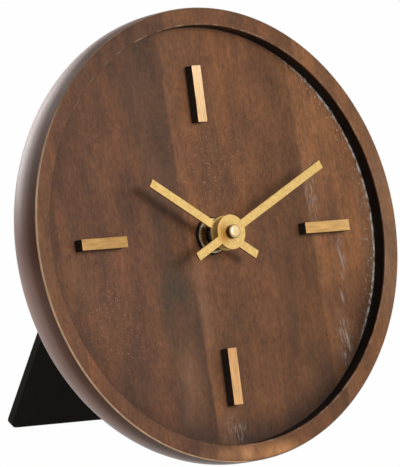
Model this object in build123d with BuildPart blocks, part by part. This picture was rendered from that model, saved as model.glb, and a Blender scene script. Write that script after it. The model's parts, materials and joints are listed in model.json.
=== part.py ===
from build123d import *
import os
from math import acos, cos, pi, radians, sin, tan

# Round wooden desk clock that leans back on a bent steel easel stand. A quartz movement sits in
# a square pocket in the back. Lengths are millimetres. The clock is described in its own leaned
# frame: u to the right across the dial, v up the dial, n out of the dial towards the viewer, with
# n = 0 on the front face of the rim. "Level" is a height along n above the movement's front face.

# ---------------------------------------------------------------- driving dimensions
# wooden case
case_diameter = 152.0
case_depth = 23.0
rim_width = 5.9
dial_recess_depth = 5.3
web_thickness = 3.6
front_edge_round = 0.9
inner_edge_bevel = 0.4
rear_edge_round = 16.0
lean_angle = 15.6
pocket_clearance = 0.5
pocket_corner_radius = 4.0
bush_hole_clearance = 0.3

# brass hour marks
mark_length = 19.0
mark_width = 3.8
mark_height = 3.8
mark_rim_gap = 13.3
mark_edge_round = 0.25

# hands
hand_thickness = 0.8
hand_width = 2.85
hand_hub_diameter = 11.6
minute_reach = 46.4
minute_tail = 16.9
minute_clock_angle = 63.9
minute_front_height = 11.3
hour_reach = 33.8
hour_tail = 14.7
hour_clock_angle = 302.9
hour_front_height = 8.1
collet_diameter = 6.4
collet_length = 2.1
hand_nut_diameter = 4.6
hand_nut_height = 2.4
hand_nut_crown = 0.9

# mounting hardware on the dial side
rubber_washer_diameter = 12.6
rubber_washer_thickness = 1.0
brass_washer_diameter = 11.6
brass_washer_thickness = 0.5
nut_across_flats = 9.5
nut_thickness = 1.8

# easel stand
stand_width = 53.0
stand_thickness = 3.2
stand_angle = 39.8
stand_bend_clearance = 0.22
stand_bend_radius = 3.0
stand_flange_length = 21.5
stand_corner_radius = 4.0
stand_screw_spacing = 30.0
stand_screw_rise = 12.5
screw_shank_diameter = 3.2
screw_length = 12.0
screw_head_diameter = 7.0
screw_head_height = 2.2
screw_head_bevel = 0.9
screw_slot_width = 1.0
screw_slot_depth = 1.1
screw_hole_clearance = 0.2

# quartz movement housing
movement_height = 56.0
movement_depth = 16.0
movement_corner_radius = 3.5
movement_edge_round = 1.4
housing_wall = 1.2
housing_front_wall = 1.0
cover_thickness = 2.0
cover_lip_depth = 1.2
cover_lip_clearance = 0.1
bush_diameter = 7.8
bush_length = 8.2
bush_mouth_bevel = 0.3

# shafts and bearings
hour_pipe_diameter = 5.0
minute_arbor_diameter = 3.2
arbor_tip_diameter = 2.6
arbor_tip_length = 2.1
arbor_pivot_diameter = 1.6
stem_diameter = 2.4
stem_pivot_diameter = 1.4
stem_pivot_length = 0.6
running_clearance = 0.06
end_play = 0.1
level_gap = 0.3

# motion work: cannon pinion, setting wheel, setting pinion and hour wheel
stem_direction = 150.0
wheel_thickness = 1.2
pinion_thickness = 1.4
cannon_teeth = 12
setting_wheel_teeth = 36
setting_pinion_teeth = 10
hour_wheel_teeth = 40
cannon_module = 0.5
pressure_angle = 20.0
tooth_addendum = 0.8
tooth_dedendum = 1.15
tooth_thinning = 0.12
shortest_flank = 0.1

# setting knob
knob_diameter = 13.0
knob_height = 3.4
knob_gap = 0.4
knob_grooves = 24
knob_groove_depth = 0.6
knob_edge_bevel = 0.5

# going train: rotor, intermediate, second and third wheels, and the centre wheel on the arbor
train_wheel_thickness = 0.8
train_pivot_diameter = 1.0
train_pivot_length = 1.0
bearing_boss_radius = 1.2
rotor_pass_radius = 1.3
train_gap = 0.4
centre_wheel_teeth = 60
third_pinion_teeth = 8
third_wheel_teeth = 64
second_pinion_teeth = 8
second_wheel_teeth = 50
intermediate_pinion_teeth = 10
intermediate_wheel_teeth = 48
rotor_pinion_teeth = 8
centre_module = 0.34
third_module = 0.22
second_module = 0.21
rotor_module = 0.20
third_direction = 20.0
second_direction = 80.0
intermediate_direction = 125.0
rotor_direction = 190.0
rotor_magnet_radius = 2.1
rotor_magnet_length = 2.2
rotor_air_gap = 0.4

# middle plate and electrical parts
plate_thickness = 1.0
plate_left = -24.0
plate_right = 21.0
plate_bottom = -8.0
plate_top = 25.0
plate_corner_radius = 3.0
post_radius = 1.8
post_inset = 2.0
pad_radius = 1.5
pad_height = 1.5
stator_thickness = 1.0
stator_left = -9.0
stator_right = 19.0
stator_bar_width = 5.6
stator_arm_width = 3.5
core_width = 3.0
coil_radius = 2.8
coil_flange = 0.8
coil_flange_proud = 0.3
board_thickness = 0.8
board_left = -23.5
board_width = 12.0
board_bottom = 13.0
board_height = 11.5
chip_cap_radius = 2.2
chip_cap_height = 0.9
chip_cap_bevel = 0.5
chip_cap_rise = 3.8
crystal_radius = 1.0
crystal_length = 6.0
crystal_rise = 8.6

# AA battery and its bay
battery_diameter = 14.2
battery_length = 49.2
battery_nub_diameter = 5.4
battery_nub_length = 1.2
battery_edge_bevel = 0.4
bay_wall = 1.0
bay_clearance = 0.2
contact_thickness = 0.4
contact_width = 9.0
spring_contact_depth = 2.8

# ---------------------------------------------------------------- derived layout
case_radius = case_diameter / 2
dial_radius = case_radius - rim_width
mark_centre_radius = dial_radius - mark_rim_gap - mark_length / 2
bay_length = spring_contact_depth + battery_length + battery_nub_length + contact_thickness
movement_width = bay_length + 2 * housing_wall
straight_side = case_depth - rear_edge_round
pocket_width = movement_width + 2 * pocket_clearance
pocket_height = movement_height + 2 * pocket_clearance
pocket_depth = case_depth - dial_recess_depth - web_thickness
lean = radians(lean_angle)
leg_tilt = radians(stand_angle - lean_angle)

# the leg leaves the back just above the movement's proud rear edge
rear_proud = movement_depth - pocket_depth
stand_bend_height = movement_height / 2 + stand_bend_clearance + rear_proud / tan(radians(stand_angle))
stand_screw_height = stand_bend_height + stand_screw_rise

# the case rests on its rounded rear edge, and the stand's leg on its front lower edge
centre_height = (case_radius - rear_edge_round) * cos(lean) + straight_side * sin(lean) + rear_edge_round
leg_drop = centre_height + stand_bend_height * cos(lean) - case_depth * sin(lean)
leg_length = leg_drop / cos(leg_tilt)
foot_v = stand_bend_height - leg_length * cos(radians(stand_angle))
foot_n = -case_depth - leg_length * sin(radians(stand_angle))
front_reach = (case_radius - front_edge_round) * sin(lean) + front_edge_round * (1 - cos(lean))
rear_reach = foot_v * sin(lean) - foot_n * cos(lean) + stand_thickness * cos(leg_tilt)
centre_y = (front_reach - rear_reach) / 2

# working planes: front face of the rim, dial, back, and the movement's seat in the pocket
face = Plane(origin=(0, centre_y, centre_height), x_dir=(1, 0, 0), z_dir=(0, -cos(lean), sin(lean)))
dial = face.offset(-dial_recess_depth)
back = face.offset(-case_depth)
seat = dial.offset(-web_thickness)
turning_section = Plane(face.origin, x_dir=face.x_dir, z_dir=-face.y_dir)
side_section = Plane(face.origin, x_dir=face.y_dir, z_dir=face.x_dir)
clock_axis = Axis(face.origin, face.z_dir)

# levels behind the seat are negative
housing_depth = movement_depth - cover_thickness
hour_wheel_front = -housing_front_wall - end_play
hour_wheel_rear = hour_wheel_front - wheel_thickness
cannon_front = hour_wheel_rear - level_gap
cannon_rear = cannon_front - pinion_thickness
setting_wheel_front = cannon_front - end_play
setting_wheel_rear = setting_wheel_front - wheel_thickness
centre_wheel_front = cannon_rear - level_gap
centre_wheel_rear = centre_wheel_front - train_wheel_thickness
front_pinions_front = centre_wheel_front + end_play
rear_wheels_front = centre_wheel_rear - train_gap
rear_wheels_rear = rear_wheels_front - train_wheel_thickness
rear_pinions_rear = rear_wheels_rear - end_play
plate_front_level = rear_wheels_rear - train_gap
plate_rear_level = plate_front_level - plate_thickness
pad_level = plate_rear_level - pad_height
rotor_magnet_front = pad_level - stator_thickness / 2 + rotor_magnet_length / 2
rotor_magnet_rear = rotor_magnet_front - rotor_magnet_length
rotor_boss_height = housing_depth + rotor_magnet_rear - end_play

# the setting stem stands where both gear pairs have the same centre distance
stem_distance = cannon_module * (cannon_teeth + setting_wheel_teeth) / 2
hour_module = 2 * stem_distance / (setting_pinion_teeth + hour_wheel_teeth)
stem_u = stem_distance * cos(radians(stem_direction))
stem_v = stem_distance * sin(radians(stem_direction))

# battery bay along the bottom of the housing
bay_half_length = bay_length / 2
bay_radius = battery_diameter / 2 + bay_clearance
battery_v = -movement_height / 2 + housing_wall + bay_radius
battery_level = -housing_front_wall - bay_radius
bay_top = battery_v + bay_radius

# heights of the dial-side stack, above the dial
washer_top = rubber_washer_thickness + brass_washer_thickness
nut_top = washer_top + nut_thickness
hour_back_height = hour_front_height - hand_thickness
minute_back_height = minute_front_height - hand_thickness


def at(u, v, level):
    """Plane parallel to the seat, with its origin at (u, v) on the given level."""
    return Plane(seat.from_local_coords((u, v, level)), x_dir=seat.x_dir, z_dir=seat.z_dir)


def turned(plane, clock_angle):
    """The plane with its local y turned clockwise from 12 o'clock by an angle in degrees."""
    angle = radians(clock_angle)
    return Plane(plane.origin, x_dir=plane.x_dir * cos(angle) - plane.y_dir * sin(angle), z_dir=plane.z_dir)


def tooth_half_angle(radius, teeth, module):
    """Half the angle that a tooth fills at a radius: an involute, and radial below its base."""
    pitch_radius = module * teeth / 2
    base_radius = pitch_radius * cos(radians(pressure_angle))
    pitch_half = (pi / 2 - tooth_thinning) / teeth
    involute_at_pitch = tan(radians(pressure_angle)) - radians(pressure_angle)
    roll = acos(min(1.0, base_radius / radius))
    return pitch_half + involute_at_pitch - (tan(roll) - roll)


def gear_outline(teeth, module, phase):
    """Corner points of a spur gear with a tooth centred on the phase angle."""
    pitch_radius = module * teeth / 2
    base_radius = pitch_radius * cos(radians(pressure_angle))
    root_radius = pitch_radius - tooth_dedendum * module
    tip_radius = pitch_radius + tooth_addendum * module
    radii = [root_radius, pitch_radius, tip_radius]
    if base_radius > root_radius + shortest_flank * module:
        radii.insert(1, base_radius)
    halves = [tooth_half_angle(radius, teeth, module) for radius in radii]
    points = []
    for tooth in range(teeth):
        middle = phase + 2 * pi * tooth / teeth
        rising = [(radius, middle - half) for radius, half in zip(radii, halves)]
        falling = [(radius, middle + half) for radius, half in zip(radii[::-1], halves[::-1])]
        points += [(radius * cos(angle), radius * sin(angle)) for radius, angle in rising + falling]
    return points


def meshing_phase(direction, phase, teeth, other_teeth):
    """Phase of a gear that meshes with one of the given phase, seen from it in the direction."""
    turn = (direction - phase) * teeth / (2 * pi)
    return direction + pi - (0.5 - turn) * 2 * pi / other_teeth


def gear_face(plane, teeth, module, phase):
    """A spur gear's outline as a face on the plane."""
    with BuildSketch(plane) as gear:
        with BuildLine():
            Polyline(*gear_outline(teeth, module, phase), close=True)
        make_face()
    return gear.sketch


def next_axis(start, distance, direction):
    """Place of a shaft that stands at a distance from another, in a direction in degrees."""
    return (start[0] + distance * cos(radians(direction)), start[1] + distance * sin(radians(direction)))


stem_angle = radians(stem_direction)
cannon_phase = 0.0
setting_wheel_phase = meshing_phase(stem_angle, cannon_phase, cannon_teeth, setting_wheel_teeth)
setting_pinion_phase = setting_wheel_phase
hour_wheel_phase = meshing_phase(
    stem_angle + pi, setting_pinion_phase, setting_pinion_teeth, hour_wheel_teeth)

# shafts of the going train, each at its pair's centre distance from the one before
third_distance = centre_module * (centre_wheel_teeth + third_pinion_teeth) / 2
second_distance = third_module * (third_wheel_teeth + second_pinion_teeth) / 2
intermediate_distance = second_module * (second_wheel_teeth + intermediate_pinion_teeth) / 2
rotor_distance = rotor_module * (intermediate_wheel_teeth + rotor_pinion_teeth) / 2
third_place = next_axis((0, 0), third_distance, third_direction)
second_place = next_axis(third_place, second_distance, second_direction)
intermediate_place = next_axis(second_place, intermediate_distance, intermediate_direction)
rotor_place = next_axis(intermediate_place, rotor_distance, rotor_direction)
train_places = [third_place, second_place, intermediate_place, rotor_place]

# phases that bring the train's teeth into mesh, starting from the centre wheel
centre_wheel_phase = 0.0
third_phase = meshing_phase(
    radians(third_direction), centre_wheel_phase, centre_wheel_teeth, third_pinion_teeth)
second_phase = meshing_phase(radians(second_direction), third_phase, third_wheel_teeth, second_pinion_teeth)
intermediate_phase = meshing_phase(
    radians(intermediate_direction), second_phase, second_wheel_teeth, intermediate_pinion_teeth)
rotor_phase = meshing_phase(
    radians(rotor_direction), intermediate_phase, intermediate_wheel_teeth, rotor_pinion_teeth)

os.makedirs("parts", exist_ok=True)

# ---------------------------------------------------------------- wooden case
# One turned disc: a shallow dial recess in front, a large quarter round behind, and a routed
# square pocket for the movement, with a hole through the web between them.
with BuildPart() as case:
    with BuildSketch(turning_section):
        with BuildLine():
            Polyline(
                (0, -dial_recess_depth),
                (dial_radius, -dial_recess_depth),
                (dial_radius, 0),
                (case_radius, 0),
                (case_radius, -straight_side),
            )
            CenterArc((case_radius - rear_edge_round, -straight_side), rear_edge_round, 0, -90)
            Polyline((case_radius - rear_edge_round, -case_depth), (0, -case_depth), (0, -dial_recess_depth))
        make_face()
    revolve(axis=clock_axis)
    rim_edges = case.edges().filter_by(GeomType.CIRCLE).filter_by(
        lambda edge: abs(face.to_local_coords(edge.arc_center).Z) < 0.01)
    fillet(rim_edges.sort_by(SortBy.RADIUS)[-1], radius=front_edge_round)
    chamfer(rim_edges.sort_by(SortBy.RADIUS)[0], length=inner_edge_bevel)
    with BuildSketch(back):
        RectangleRounded(pocket_width, pocket_height, pocket_corner_radius)
    extrude(amount=pocket_depth, mode=Mode.SUBTRACT)
    with BuildSketch(seat):
        Circle(bush_diameter / 2 + bush_hole_clearance)
    extrude(amount=web_thickness, mode=Mode.SUBTRACT)
    with BuildSketch(back):
        with Locations((0, stand_screw_height)):
            with GridLocations(stand_screw_spacing, 0, 2, 1):
                Circle(screw_shank_diameter / 2 + running_clearance)
    extrude(amount=screw_length - stand_thickness + level_gap, mode=Mode.SUBTRACT)
case.part.label = "case"
export_step(case.part, "parts/case.step")

# ---------------------------------------------------------------- hour marks
# Four square brass bars glued to the dial at 12, 3, 6 and 9, each pointing at the centre.
for hour in (12, 3, 6, 9):
    with BuildPart() as mark:
        with BuildSketch(turned(dial, 30.0 * hour)):
            with Locations((0, mark_centre_radius)):
                Rectangle(mark_width, mark_length)
        extrude(amount=mark_height)
        top_face = mark.faces().sort_by(clock_axis)[-1]
        fillet(top_face.edges(), radius=mark_edge_round)
    mark.part.label = f"mark_{hour}"
    export_step(mark.part, f"parts/mark_{hour}.step")

# ---------------------------------------------------------------- easel stand
# A flat steel bar bent once: a short flange screwed to the back above the movement, and a leg
# that runs down and away from the case.
leg_outward = (sin(radians(stand_angle)), -cos(radians(stand_angle)))
bend_shift = stand_thickness * tan(radians(stand_angle) / 2)
flange_top = stand_bend_height + stand_flange_length
rear_bend = (stand_bend_height + bend_shift, -case_depth - stand_thickness)
with BuildPart() as stand:
    with BuildSketch(side_section):
        with BuildLine():
            Polyline(
                (flange_top, -case_depth),
                (stand_bend_height, -case_depth),
                (foot_v, foot_n),
                (foot_v + stand_thickness * leg_outward[0], foot_n + stand_thickness * leg_outward[1]),
                rear_bend,
                (flange_top, -case_depth - stand_thickness),
                close=True,
            )
        make_face()
    extrude(amount=stand_width / 2, both=True)
    across = stand.edges().filter_by(Axis.X)
    near_bend = across.sort_by_distance(face.from_local_coords((0, stand_bend_height, -case_depth)))
    fillet(near_bend[0], radius=stand_bend_radius + stand_thickness)
    across = stand.edges().filter_by(Axis.X)
    near_rear = across.sort_by_distance(face.from_local_coords((0, rear_bend[0], rear_bend[1])))
    fillet(near_rear[0], radius=stand_bend_radius)
    flange_corners = stand.edges().filter_by(Axis(face.origin, face.z_dir)).group_by(
        Axis(face.origin, face.y_dir))[-1]
    fillet(flange_corners, radius=stand_corner_radius)
    with BuildSketch(back):
        with Locations((0, stand_screw_height)):
            with GridLocations(stand_screw_spacing, 0, 2, 1):
                Circle(screw_shank_diameter / 2 + screw_hole_clearance)
    extrude(amount=-stand_thickness, mode=Mode.SUBTRACT)
stand.part.label = "stand"
export_step(stand.part, "parts/stand.step")

with BuildPart() as stand_screws:
    with BuildSketch(back.offset(-stand_thickness)):
        with Locations((0, stand_screw_height)):
            with GridLocations(stand_screw_spacing, 0, 2, 1):
                Circle(screw_head_diameter / 2)
    extrude(amount=-screw_head_height)
    head_rims = stand_screws.edges().filter_by(GeomType.CIRCLE).group_by(clock_axis)[0]
    chamfer(head_rims, length=screw_head_bevel)
    with BuildSketch(back.offset(-stand_thickness)):
        with Locations((0, stand_screw_height)):
            with GridLocations(stand_screw_spacing, 0, 2, 1):
                Circle(screw_shank_diameter / 2)
    extrude(amount=screw_length)
    with BuildSketch(back.offset(-stand_thickness - screw_head_height)):
        with Locations((0, stand_screw_height)):
            with GridLocations(stand_screw_spacing, 0, 2, 1):
                Rectangle(screw_head_diameter, screw_slot_width)
                Rectangle(screw_slot_width, screw_head_diameter)
    extrude(amount=screw_slot_depth, mode=Mode.SUBTRACT)
stand_screws.part.label = "stand_screws"
export_step(stand_screws.part, "parts/stand_screws.step")

# ---------------------------------------------------------------- mounting hardware
# On the dial: a rubber washer, a brass washer and a hexagon nut clamp the movement's bush.
with BuildPart() as rubber_washer:
    with BuildSketch(dial):
        Circle(rubber_washer_diameter / 2)
        Circle(bush_diameter / 2 + running_clearance, mode=Mode.SUBTRACT)
    extrude(amount=rubber_washer_thickness)
rubber_washer.part.label = "rubber_washer"
export_step(rubber_washer.part, "parts/rubber_washer.step")

with BuildPart() as brass_washer:
    with BuildSketch(dial.offset(rubber_washer_thickness)):
        Circle(brass_washer_diameter / 2)
        Circle(bush_diameter / 2 + running_clearance, mode=Mode.SUBTRACT)
    extrude(amount=brass_washer_thickness)
brass_washer.part.label = "brass_washer"
export_step(brass_washer.part, "parts/brass_washer.step")

# the nut's corners are turned off by a cone on its front face
nut_corner_radius = nut_across_flats / 2 / cos(pi / 6)
nut_bevel = nut_corner_radius - nut_across_flats / 2
with BuildPart() as mounting_nut:
    with BuildSketch(dial.offset(washer_top)):
        RegularPolygon(nut_across_flats / 2, 6, major_radius=False)
        Circle(bush_diameter / 2 + running_clearance, mode=Mode.SUBTRACT)
    extrude(amount=nut_thickness)
    with BuildSketch(turning_section):
        with BuildLine():
            Polyline(
                (nut_corner_radius - nut_bevel, nut_top - dial_recess_depth),
                (nut_corner_radius + nut_bevel, nut_top - dial_recess_depth - nut_bevel),
                (nut_corner_radius + nut_bevel, nut_top - dial_recess_depth),
                close=True,
            )
        make_face()
    revolve(axis=clock_axis, mode=Mode.SUBTRACT)
mounting_nut.part.label = "mounting_nut"
export_step(mounting_nut.part, "parts/mounting_nut.step")

# ---------------------------------------------------------------- movement housing
# A square moulded box that is open behind, with the hollow bush in front, a bay for the battery
# along its lower side, four posts for the middle plate and a bearing for the setting stem.
post_places = [
    (plate_left + post_inset, plate_bottom + post_inset),
    (plate_right - post_inset, plate_bottom + post_inset),
    (plate_left + post_inset, plate_top - post_inset),
    (plate_right - post_inset, plate_top - post_inset),
]
inner_width = movement_width - 2 * housing_wall
inner_height = movement_height - 2 * housing_wall
with BuildPart() as movement_housing:
    with BuildSketch(seat):
        RectangleRounded(movement_width, movement_height, movement_corner_radius)
    extrude(amount=-housing_depth)
    with BuildSketch(seat.offset(-housing_front_wall)):
        RectangleRounded(inner_width, inner_height, movement_corner_radius - housing_wall)
    extrude(amount=-housing_depth, mode=Mode.SUBTRACT)
    with BuildSketch(seat.offset(-housing_front_wall)):
        with Locations((0, bay_top + bay_wall / 2)):
            Rectangle(inner_width, bay_wall)
        with Locations(*post_places):
            Circle(post_radius)
    extrude(amount=plate_front_level + housing_front_wall)
    with BuildSketch(seat.offset(plate_front_level)):
        with Locations((0, bay_top + bay_wall / 2)):
            Rectangle(inner_width, bay_wall)
    extrude(amount=-(housing_depth + plate_front_level))
    with BuildSketch(seat.offset(-housing_front_wall)):
        with Locations(*train_places):
            Circle(bearing_boss_radius)
            Circle(train_pivot_diameter / 2 + running_clearance, mode=Mode.SUBTRACT)
    extrude(amount=front_pinions_front + end_play + housing_front_wall)
    with BuildSketch(seat):
        Circle(bush_diameter / 2)
    extrude(amount=bush_length)
    bush_mouth = movement_housing.edges().filter_by(GeomType.CIRCLE).sort_by(clock_axis)[-1]
    chamfer(bush_mouth, length=bush_mouth_bevel)
    with BuildSketch(seat.offset(bush_length)):
        Circle(hour_pipe_diameter / 2 + running_clearance)
    extrude(amount=-(bush_length + housing_front_wall), mode=Mode.SUBTRACT)
    with BuildSketch(at(stem_u, stem_v, -housing_front_wall)):
        Circle(stem_pivot_diameter / 2 + running_clearance)
    extrude(amount=stem_pivot_length, mode=Mode.SUBTRACT)
movement_housing.part.label = "movement_housing"
export_step(movement_housing.part, "parts/movement_housing.step")

# ---------------------------------------------------------------- rear cover
# The moulded lid of the housing, with the battery's window and the stem's bearing.
with BuildPart() as movement_cover:
    with BuildSketch(seat.offset(-housing_depth)):
        RectangleRounded(movement_width, movement_height, movement_corner_radius)
    extrude(amount=-cover_thickness)
    rear_rim = movement_cover.faces().sort_by(clock_axis)[0].edges()
    fillet(rear_rim, radius=movement_edge_round)
    lip_width = inner_width - 2 * cover_lip_clearance
    lip_height = inner_height - 2 * cover_lip_clearance
    lip_bottom = bay_top + bay_wall + cover_lip_clearance
    with BuildSketch(seat.offset(-housing_depth)):
        RectangleRounded(lip_width, lip_height, movement_corner_radius - housing_wall)
        RectangleRounded(
            lip_width - 2 * housing_wall, lip_height - 2 * housing_wall, housing_wall, mode=Mode.SUBTRACT)
        with Locations((0, lip_bottom)):
            Rectangle(lip_width, lip_height, align=(Align.CENTER, Align.MAX), mode=Mode.SUBTRACT)
    extrude(amount=cover_lip_depth)
    with BuildSketch(seat.offset(-housing_depth)):
        with Locations(rotor_place):
            Circle(bearing_boss_radius)
            Circle(train_pivot_diameter / 2 + running_clearance, mode=Mode.SUBTRACT)
    extrude(amount=rotor_boss_height)
    with BuildSketch(seat.offset(-housing_depth)):
        with Locations((0, battery_v)):
            Rectangle(battery_length + battery_nub_length, 2 * bay_radius)
    extrude(amount=-cover_thickness, mode=Mode.SUBTRACT)
    with BuildSketch(at(stem_u, stem_v, -housing_depth)):
        Circle(stem_diameter / 2 + running_clearance)
    extrude(amount=-cover_thickness, mode=Mode.SUBTRACT)
movement_cover.part.label = "movement_cover"
export_step(movement_cover.part, "parts/movement_cover.step")

# ---------------------------------------------------------------- middle plate
# Carries the rear pivots of the shafts on its front side and the motor and board behind it.
plate_middle = ((plate_left + plate_right) / 2, (plate_bottom + plate_top) / 2)
core_v = plate_top - coil_radius - coil_flange_proud
stator_arm_places = [
    (stator_left + stator_arm_width / 2, core_v),
    (stator_right - stator_arm_width / 2, core_v),
]
stator_middle = (stator_left + stator_right) / 2
stator_bar_v = rotor_place[1]
stator_bottom = stator_bar_v - stator_bar_width / 2
pad_places = [(u, stator_bar_v) for u, _ in stator_arm_places]
board_middle = (board_left + board_width / 2, board_bottom + board_height / 2)
pad_places.append((board_middle[0], board_bottom + pad_radius))
pad_places.append((board_middle[0], board_bottom + board_height - pad_radius))
with BuildPart() as middle_plate:
    with BuildSketch(seat.offset(plate_front_level)):
        with Locations(plate_middle):
            RectangleRounded(plate_right - plate_left, plate_top - plate_bottom, plate_corner_radius)
        Circle(arbor_pivot_diameter / 2 + running_clearance, mode=Mode.SUBTRACT)
        with Locations((stem_u, stem_v)):
            Circle(stem_diameter / 2 + running_clearance, mode=Mode.SUBTRACT)
        with Locations(third_place, second_place, intermediate_place):
            Circle(train_pivot_diameter / 2 + running_clearance, mode=Mode.SUBTRACT)
        with Locations(rotor_place):
            Circle(rotor_pass_radius, mode=Mode.SUBTRACT)
    extrude(amount=-plate_thickness)
    with BuildSketch(seat.offset(plate_rear_level)):
        with Locations(*pad_places):
            Circle(pad_radius)
    extrude(amount=-pad_height)
middle_plate.part.label = "middle_plate"
export_step(middle_plate.part, "parts/middle_plate.step")

# ---------------------------------------------------------------- stepping motor
with BuildPart() as stator:
    with BuildSketch(seat.offset(pad_level)):
        with Locations((stator_middle, stator_bar_v)):
            Rectangle(stator_right - stator_left, stator_bar_width)
        for u, v in stator_arm_places:
            with Locations((u, (stator_bottom + v + core_width / 2) / 2)):
                Rectangle(stator_arm_width, v + core_width / 2 - stator_bottom)
        with Locations(rotor_place):
            Circle(rotor_magnet_radius + rotor_air_gap, mode=Mode.SUBTRACT)
    extrude(amount=-stator_thickness)
stator.part.label = "stator"
export_step(stator.part, "parts/stator.step")

# the coil is wound on a flanged core whose ends lie on the stator's arms
core_level = pad_level - stator_thickness
coil_centre = core_level - stator_thickness / 2
coil_length = stator_right - stator_left - 2 * stator_arm_width
winding_plane = Plane(
    seat.from_local_coords((stator_middle, core_v, coil_centre)), x_dir=seat.y_dir, z_dir=seat.x_dir)
with BuildPart() as drive_coil:
    with BuildSketch(seat.offset(core_level)):
        with Locations((stator_middle, core_v)):
            Rectangle(stator_right - stator_left, core_width)
    extrude(amount=-stator_thickness)
    with BuildSketch(winding_plane):
        Circle(coil_radius)
    extrude(amount=coil_length / 2 - coil_flange, both=True)
    for end in (-1, 1):
        with BuildSketch(winding_plane.offset(end * (coil_length / 2 - coil_flange))):
            Rectangle(2 * coil_radius, 2 * coil_radius)
        extrude(amount=end * coil_flange)
drive_coil.part.label = "drive_coil"
export_step(drive_coil.part, "parts/drive_coil.step")

# ---------------------------------------------------------------- circuit board
board_rear = pad_level - board_thickness
with BuildPart() as circuit_board:
    with BuildSketch(seat.offset(pad_level)):
        with Locations(board_middle):
            Rectangle(board_width, board_height)
    extrude(amount=-board_thickness)
    with BuildSketch(at(board_middle[0], board_bottom + chip_cap_rise, board_rear)):
        Circle(chip_cap_radius)
    extrude(amount=-chip_cap_height)
    cap_rim = circuit_board.edges().filter_by(GeomType.CIRCLE).sort_by(clock_axis)[0]
    chamfer(cap_rim, length=chip_cap_bevel)
circuit_board.part.label = "circuit_board"
export_step(circuit_board.part, "parts/circuit_board.step")

crystal_centre = (board_middle[0], board_bottom + crystal_rise, board_rear - crystal_radius)
crystal_plane = Plane(seat.from_local_coords(crystal_centre), x_dir=seat.y_dir, z_dir=seat.x_dir)
with BuildPart() as quartz_crystal:
    with BuildSketch(crystal_plane):
        Circle(crystal_radius)
    extrude(amount=crystal_length / 2, both=True)
quartz_crystal.part.label = "quartz_crystal"
export_step(quartz_crystal.part, "parts/quartz_crystal.step")

# ---------------------------------------------------------------- battery and its contacts
# The cell lies along the bottom of the housing with its nub on the flat contact.
nub_tip = bay_half_length - contact_thickness
battery_front_end = nub_tip - battery_nub_length
battery_rear_end = battery_front_end - battery_length
battery_centre = seat.from_local_coords((0, battery_v, battery_level))
battery_plane = Plane(battery_centre, x_dir=seat.x_dir, z_dir=-seat.y_dir)
with BuildPart() as battery:
    with BuildSketch(battery_plane):
        with BuildLine():
            Polyline(
                (battery_rear_end, 0),
                (battery_rear_end, battery_diameter / 2),
                (battery_front_end, battery_diameter / 2),
                (battery_front_end, battery_nub_diameter / 2),
                (nub_tip, battery_nub_diameter / 2),
                (nub_tip, 0),
                close=True,
            )
        make_face()
    revolve(axis=Axis(battery_plane.origin, battery_plane.x_dir))
    end_rims = battery.edges().filter_by(GeomType.CIRCLE).group_by(SortBy.RADIUS)[-1]
    chamfer(end_rims, length=battery_edge_bevel)
battery.part.label = "battery"
export_step(battery.part, "parts/battery.step")

contact_half = contact_width / 2
with BuildPart() as positive_contact:
    with BuildSketch(at(0, battery_v, battery_level + contact_half)):
        with Locations((bay_half_length - contact_thickness / 2, 0)):
            Rectangle(contact_thickness, contact_width)
    extrude(amount=-contact_width)
positive_contact.part.label = "positive_contact"
export_step(positive_contact.part, "parts/positive_contact.step")

# the spring contact is a strip bent to a shallow peak that presses on the cell's flat end
with BuildPart() as negative_contact:
    with BuildSketch(at(0, battery_v, battery_level + contact_half)):
        with BuildLine():
            Polyline(
                (-bay_half_length, -contact_half),
                (-bay_half_length, contact_half),
                (-bay_half_length + contact_thickness, contact_half),
                (battery_rear_end, contact_thickness),
                (battery_rear_end, -contact_thickness),
                (-bay_half_length + contact_thickness, -contact_half),
                close=True,
            )
        make_face()
        with BuildLine():
            Polyline(
                (-bay_half_length + contact_thickness, -contact_half + 2 * contact_thickness),
                (-bay_half_length + contact_thickness, contact_half - 2 * contact_thickness),
                (battery_rear_end - contact_thickness, contact_thickness / 2),
                (battery_rear_end - contact_thickness, -contact_thickness / 2),
                close=True,
            )
        make_face(mode=Mode.SUBTRACT)
    extrude(amount=-contact_width)
negative_contact.part.label = "negative_contact"
export_step(negative_contact.part, "parts/negative_contact.step")

# ---------------------------------------------------------------- going train
# The rotor steps once a second and drives the centre wheel through three moulded wheels. The
# centre wheel grips the minute arbor by friction, so the hands can be set while the train holds.
with BuildPart() as centre_wheel:
    wheel_plane = seat.offset(centre_wheel_front)
    wheel_outline = gear_face(wheel_plane, centre_wheel_teeth, centre_module, centre_wheel_phase)
    extrude(wheel_outline, amount=-train_wheel_thickness)
    with BuildSketch(wheel_plane):
        Circle(minute_arbor_diameter / 2 + running_clearance)
    extrude(amount=-train_wheel_thickness, mode=Mode.SUBTRACT)
centre_wheel.part.label = "centre_wheel"
export_step(centre_wheel.part, "parts/centre_wheel.step")

# the third and intermediate wheels lie behind the centre wheel with their pinions level with it,
# and the second wheel lies the other way round
shaft_front = front_pinions_front + train_pivot_length
train_pinion_length = train_wheel_thickness + train_gap + end_play
with BuildPart() as third_wheel:
    wheel_outline = gear_face(
        at(*third_place, rear_wheels_front), third_wheel_teeth, third_module, third_phase)
    extrude(wheel_outline, amount=-train_wheel_thickness)
    pinion_outline = gear_face(
        at(*third_place, front_pinions_front), third_pinion_teeth, centre_module, third_phase)
    extrude(pinion_outline, amount=-train_pinion_length)
    with BuildSketch(at(*third_place, shaft_front)):
        Circle(train_pivot_diameter / 2)
    extrude(amount=plate_rear_level - shaft_front)
third_wheel.part.label = "third_wheel"
export_step(third_wheel.part, "parts/third_wheel.step")

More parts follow.
